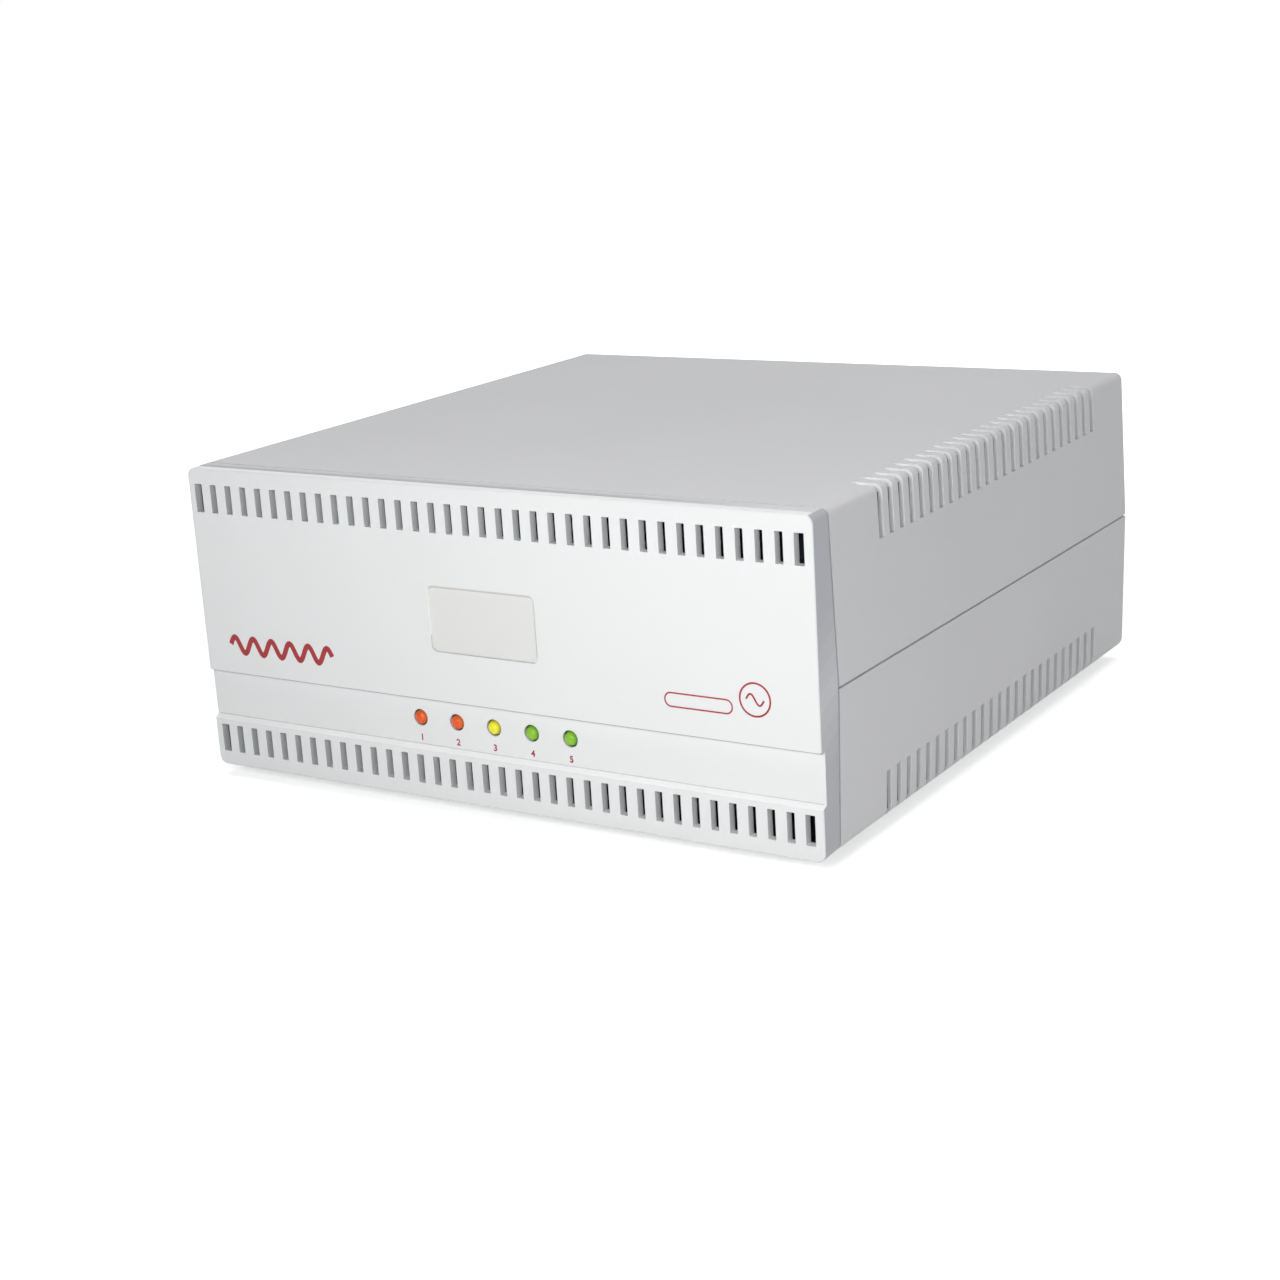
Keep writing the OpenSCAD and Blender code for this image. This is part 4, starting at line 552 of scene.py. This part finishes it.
def window_shadow(corner=0.002, inset=0.00035, width=0.0007):
    """A shadow line along the top and the right of the window."""
    low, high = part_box("window_plate")
    half_w, half_h = (high.x - low.x) / 2, (high.z - low.z) / 2
    x, y = half_w - corner, half_h - corner
    line = (arc(corner - inset, n=6, start=150, turn=-60, centre=(-x, y))
            + arc(corner - inset, n=8, start=90, turn=-90, centre=(x, y)) + [(half_w - inset, -y)])
    flat_mesh("window_line", stroke(line, width),
              front_place((low.x + high.x) / 2, low.y, (low.z + high.z) / 2),
              ink("rim_ink", (0.56, 0.54, 0.52)))


window_shadow()

LAMP_PITCH = 0.0146
LAMP_NUMBER_Z = PARTING_Z - 0.0315
LAMP_NUMBER_HEIGHT = 0.0021
LAMP_NUMBER_BOLD = 0.0001
for i in range(5):
    figures(f"lamp_number_{i + 1}", i + 1, LAMP_NUMBER_HEIGHT,
            front_place((i - 2) * LAMP_PITCH, BAND_Y, LAMP_NUMBER_Z), print_ink, bold=LAMP_NUMBER_BOLD)


# Floor, lights and camera

def seen_only(tree, strength, otherwise=0.0):
    """A strength that counts only where the camera sees it, also in a reflection or through glass."""
    path = tree.nodes.new("ShaderNodeLightPath")
    total = path.outputs["Is Camera Ray"]
    for name in ("Is Glossy Ray", "Is Transmission Ray"):
        total = calculate(tree, "MAXIMUM", total, path.outputs[name])
    return ramp(tree, total, otherwise, strength, 0.0, 1.0)


def stage_floor(half=30.0):
    """A wide pale floor that stays white for the camera and keeps the object's shadow."""
    mesh = bpy.data.meshes.new("floor")
    mesh.from_pydata([(-half, -half, 0), (half, -half, 0), (half, half, 0), (-half, half, 0)], [],
                     [(0, 1, 2, 3)])
    mat, tree, shader, coords = new_material("floor_paint")
    shader.inputs["Base Color"].default_value = (*FLOOR, 1.0)
    shader.inputs["Roughness"].default_value = 0.9
    shader.inputs["Specular IOR Level"].default_value = 0.1
    distance = tree.nodes.new("ShaderNodeVectorMath")
    distance.operation = "LENGTH"
    tree.links.new(coords, distance.inputs[0])
    glow = ramp(tree, distance.outputs["Value"], *FLOOR_GLOW, *FLOOR_GLOW_AT)
    tree.links.new(calculate(tree, "MULTIPLY", seen_only(tree, 1.0), glow),
                   shader.inputs["Emission Strength"])
    shader.inputs["Emission Color"].default_value = (*WHITE, 1.0)
    mesh.materials.append(mat)
    floor = bpy.data.objects.new("floor", mesh)
    bpy.context.scene.collection.objects.link(floor)


def stage_world(fill):
    """A white backdrop for the camera, which lights the object with the given strength."""
    world = bpy.data.worlds.new("studio")
    bpy.context.scene.world = world
    world.use_nodes = True
    tree = world.node_tree
    back = tree.nodes["Background"]
    tree.links.new(blend_colours(tree, seen_only(tree, 1.0), SKY, WHITE), back.inputs["Color"])
    tree.links.new(seen_only(tree, 1.0, fill), back.inputs["Strength"])


def soft_box(name, at, aim, size, power):
    """A rectangular lamp of a power in watts, turned towards a point."""
    light = bpy.data.lights.new(name, "AREA")
    light.shape = "RECTANGLE"
    light.size, light.size_y = size
    light.energy = power
    lamp = bpy.data.objects.new(name, light)
    lamp.location = at
    lamp.rotation_euler = (Vector(aim) - Vector(at)).to_track_quat("-Z", "Y").to_euler()
    bpy.context.scene.collection.objects.link(lamp)


stage_floor()
stage_world(fill=0.18)
soft_box("near", at=(0.14, -0.52, 0.26), aim=(0.05, -0.12, 0.05), size=(0.16, 0.16), power=1.09)
soft_box("right", at=(1.05, -1.10, 0.50), aim=(0, 0, 0.05), size=(0.5, 0.5), power=3.4)
soft_box("top", at=(0.0, 0.4, 2.0), aim=(0, 0, 0.1), size=(2.0, 2.0), power=20.7)
soft_box("side", at=(1.9, 0.9, 0.8), aim=(0, 0, 0.05), size=(1.4, 1.2), power=3.4)

camera_data = bpy.data.cameras.new("camera")
camera_data.sensor_width = SENSOR_MM
camera_data.lens = FOCAL_PX / PHOTO_PX * SENSOR_MM
camera_data.clip_start = 0.01
camera = bpy.data.objects.new("camera", camera_data)
camera.matrix_world = (Matrix.Translation(CAMERA_AT) @ Matrix.Rotation(math.radians(CAMERA_TURN), 4, "Z")
                       @ Matrix.Rotation(math.radians(90 - CAMERA_DIP), 4, "X")
                       @ Matrix.Rotation(math.radians(CAMERA_ROLL), 4, "Z"))
bpy.context.scene.collection.objects.link(camera)
bpy.context.scene.camera = camera
bpy.context.scene.view_settings.view_transform = "Standard"
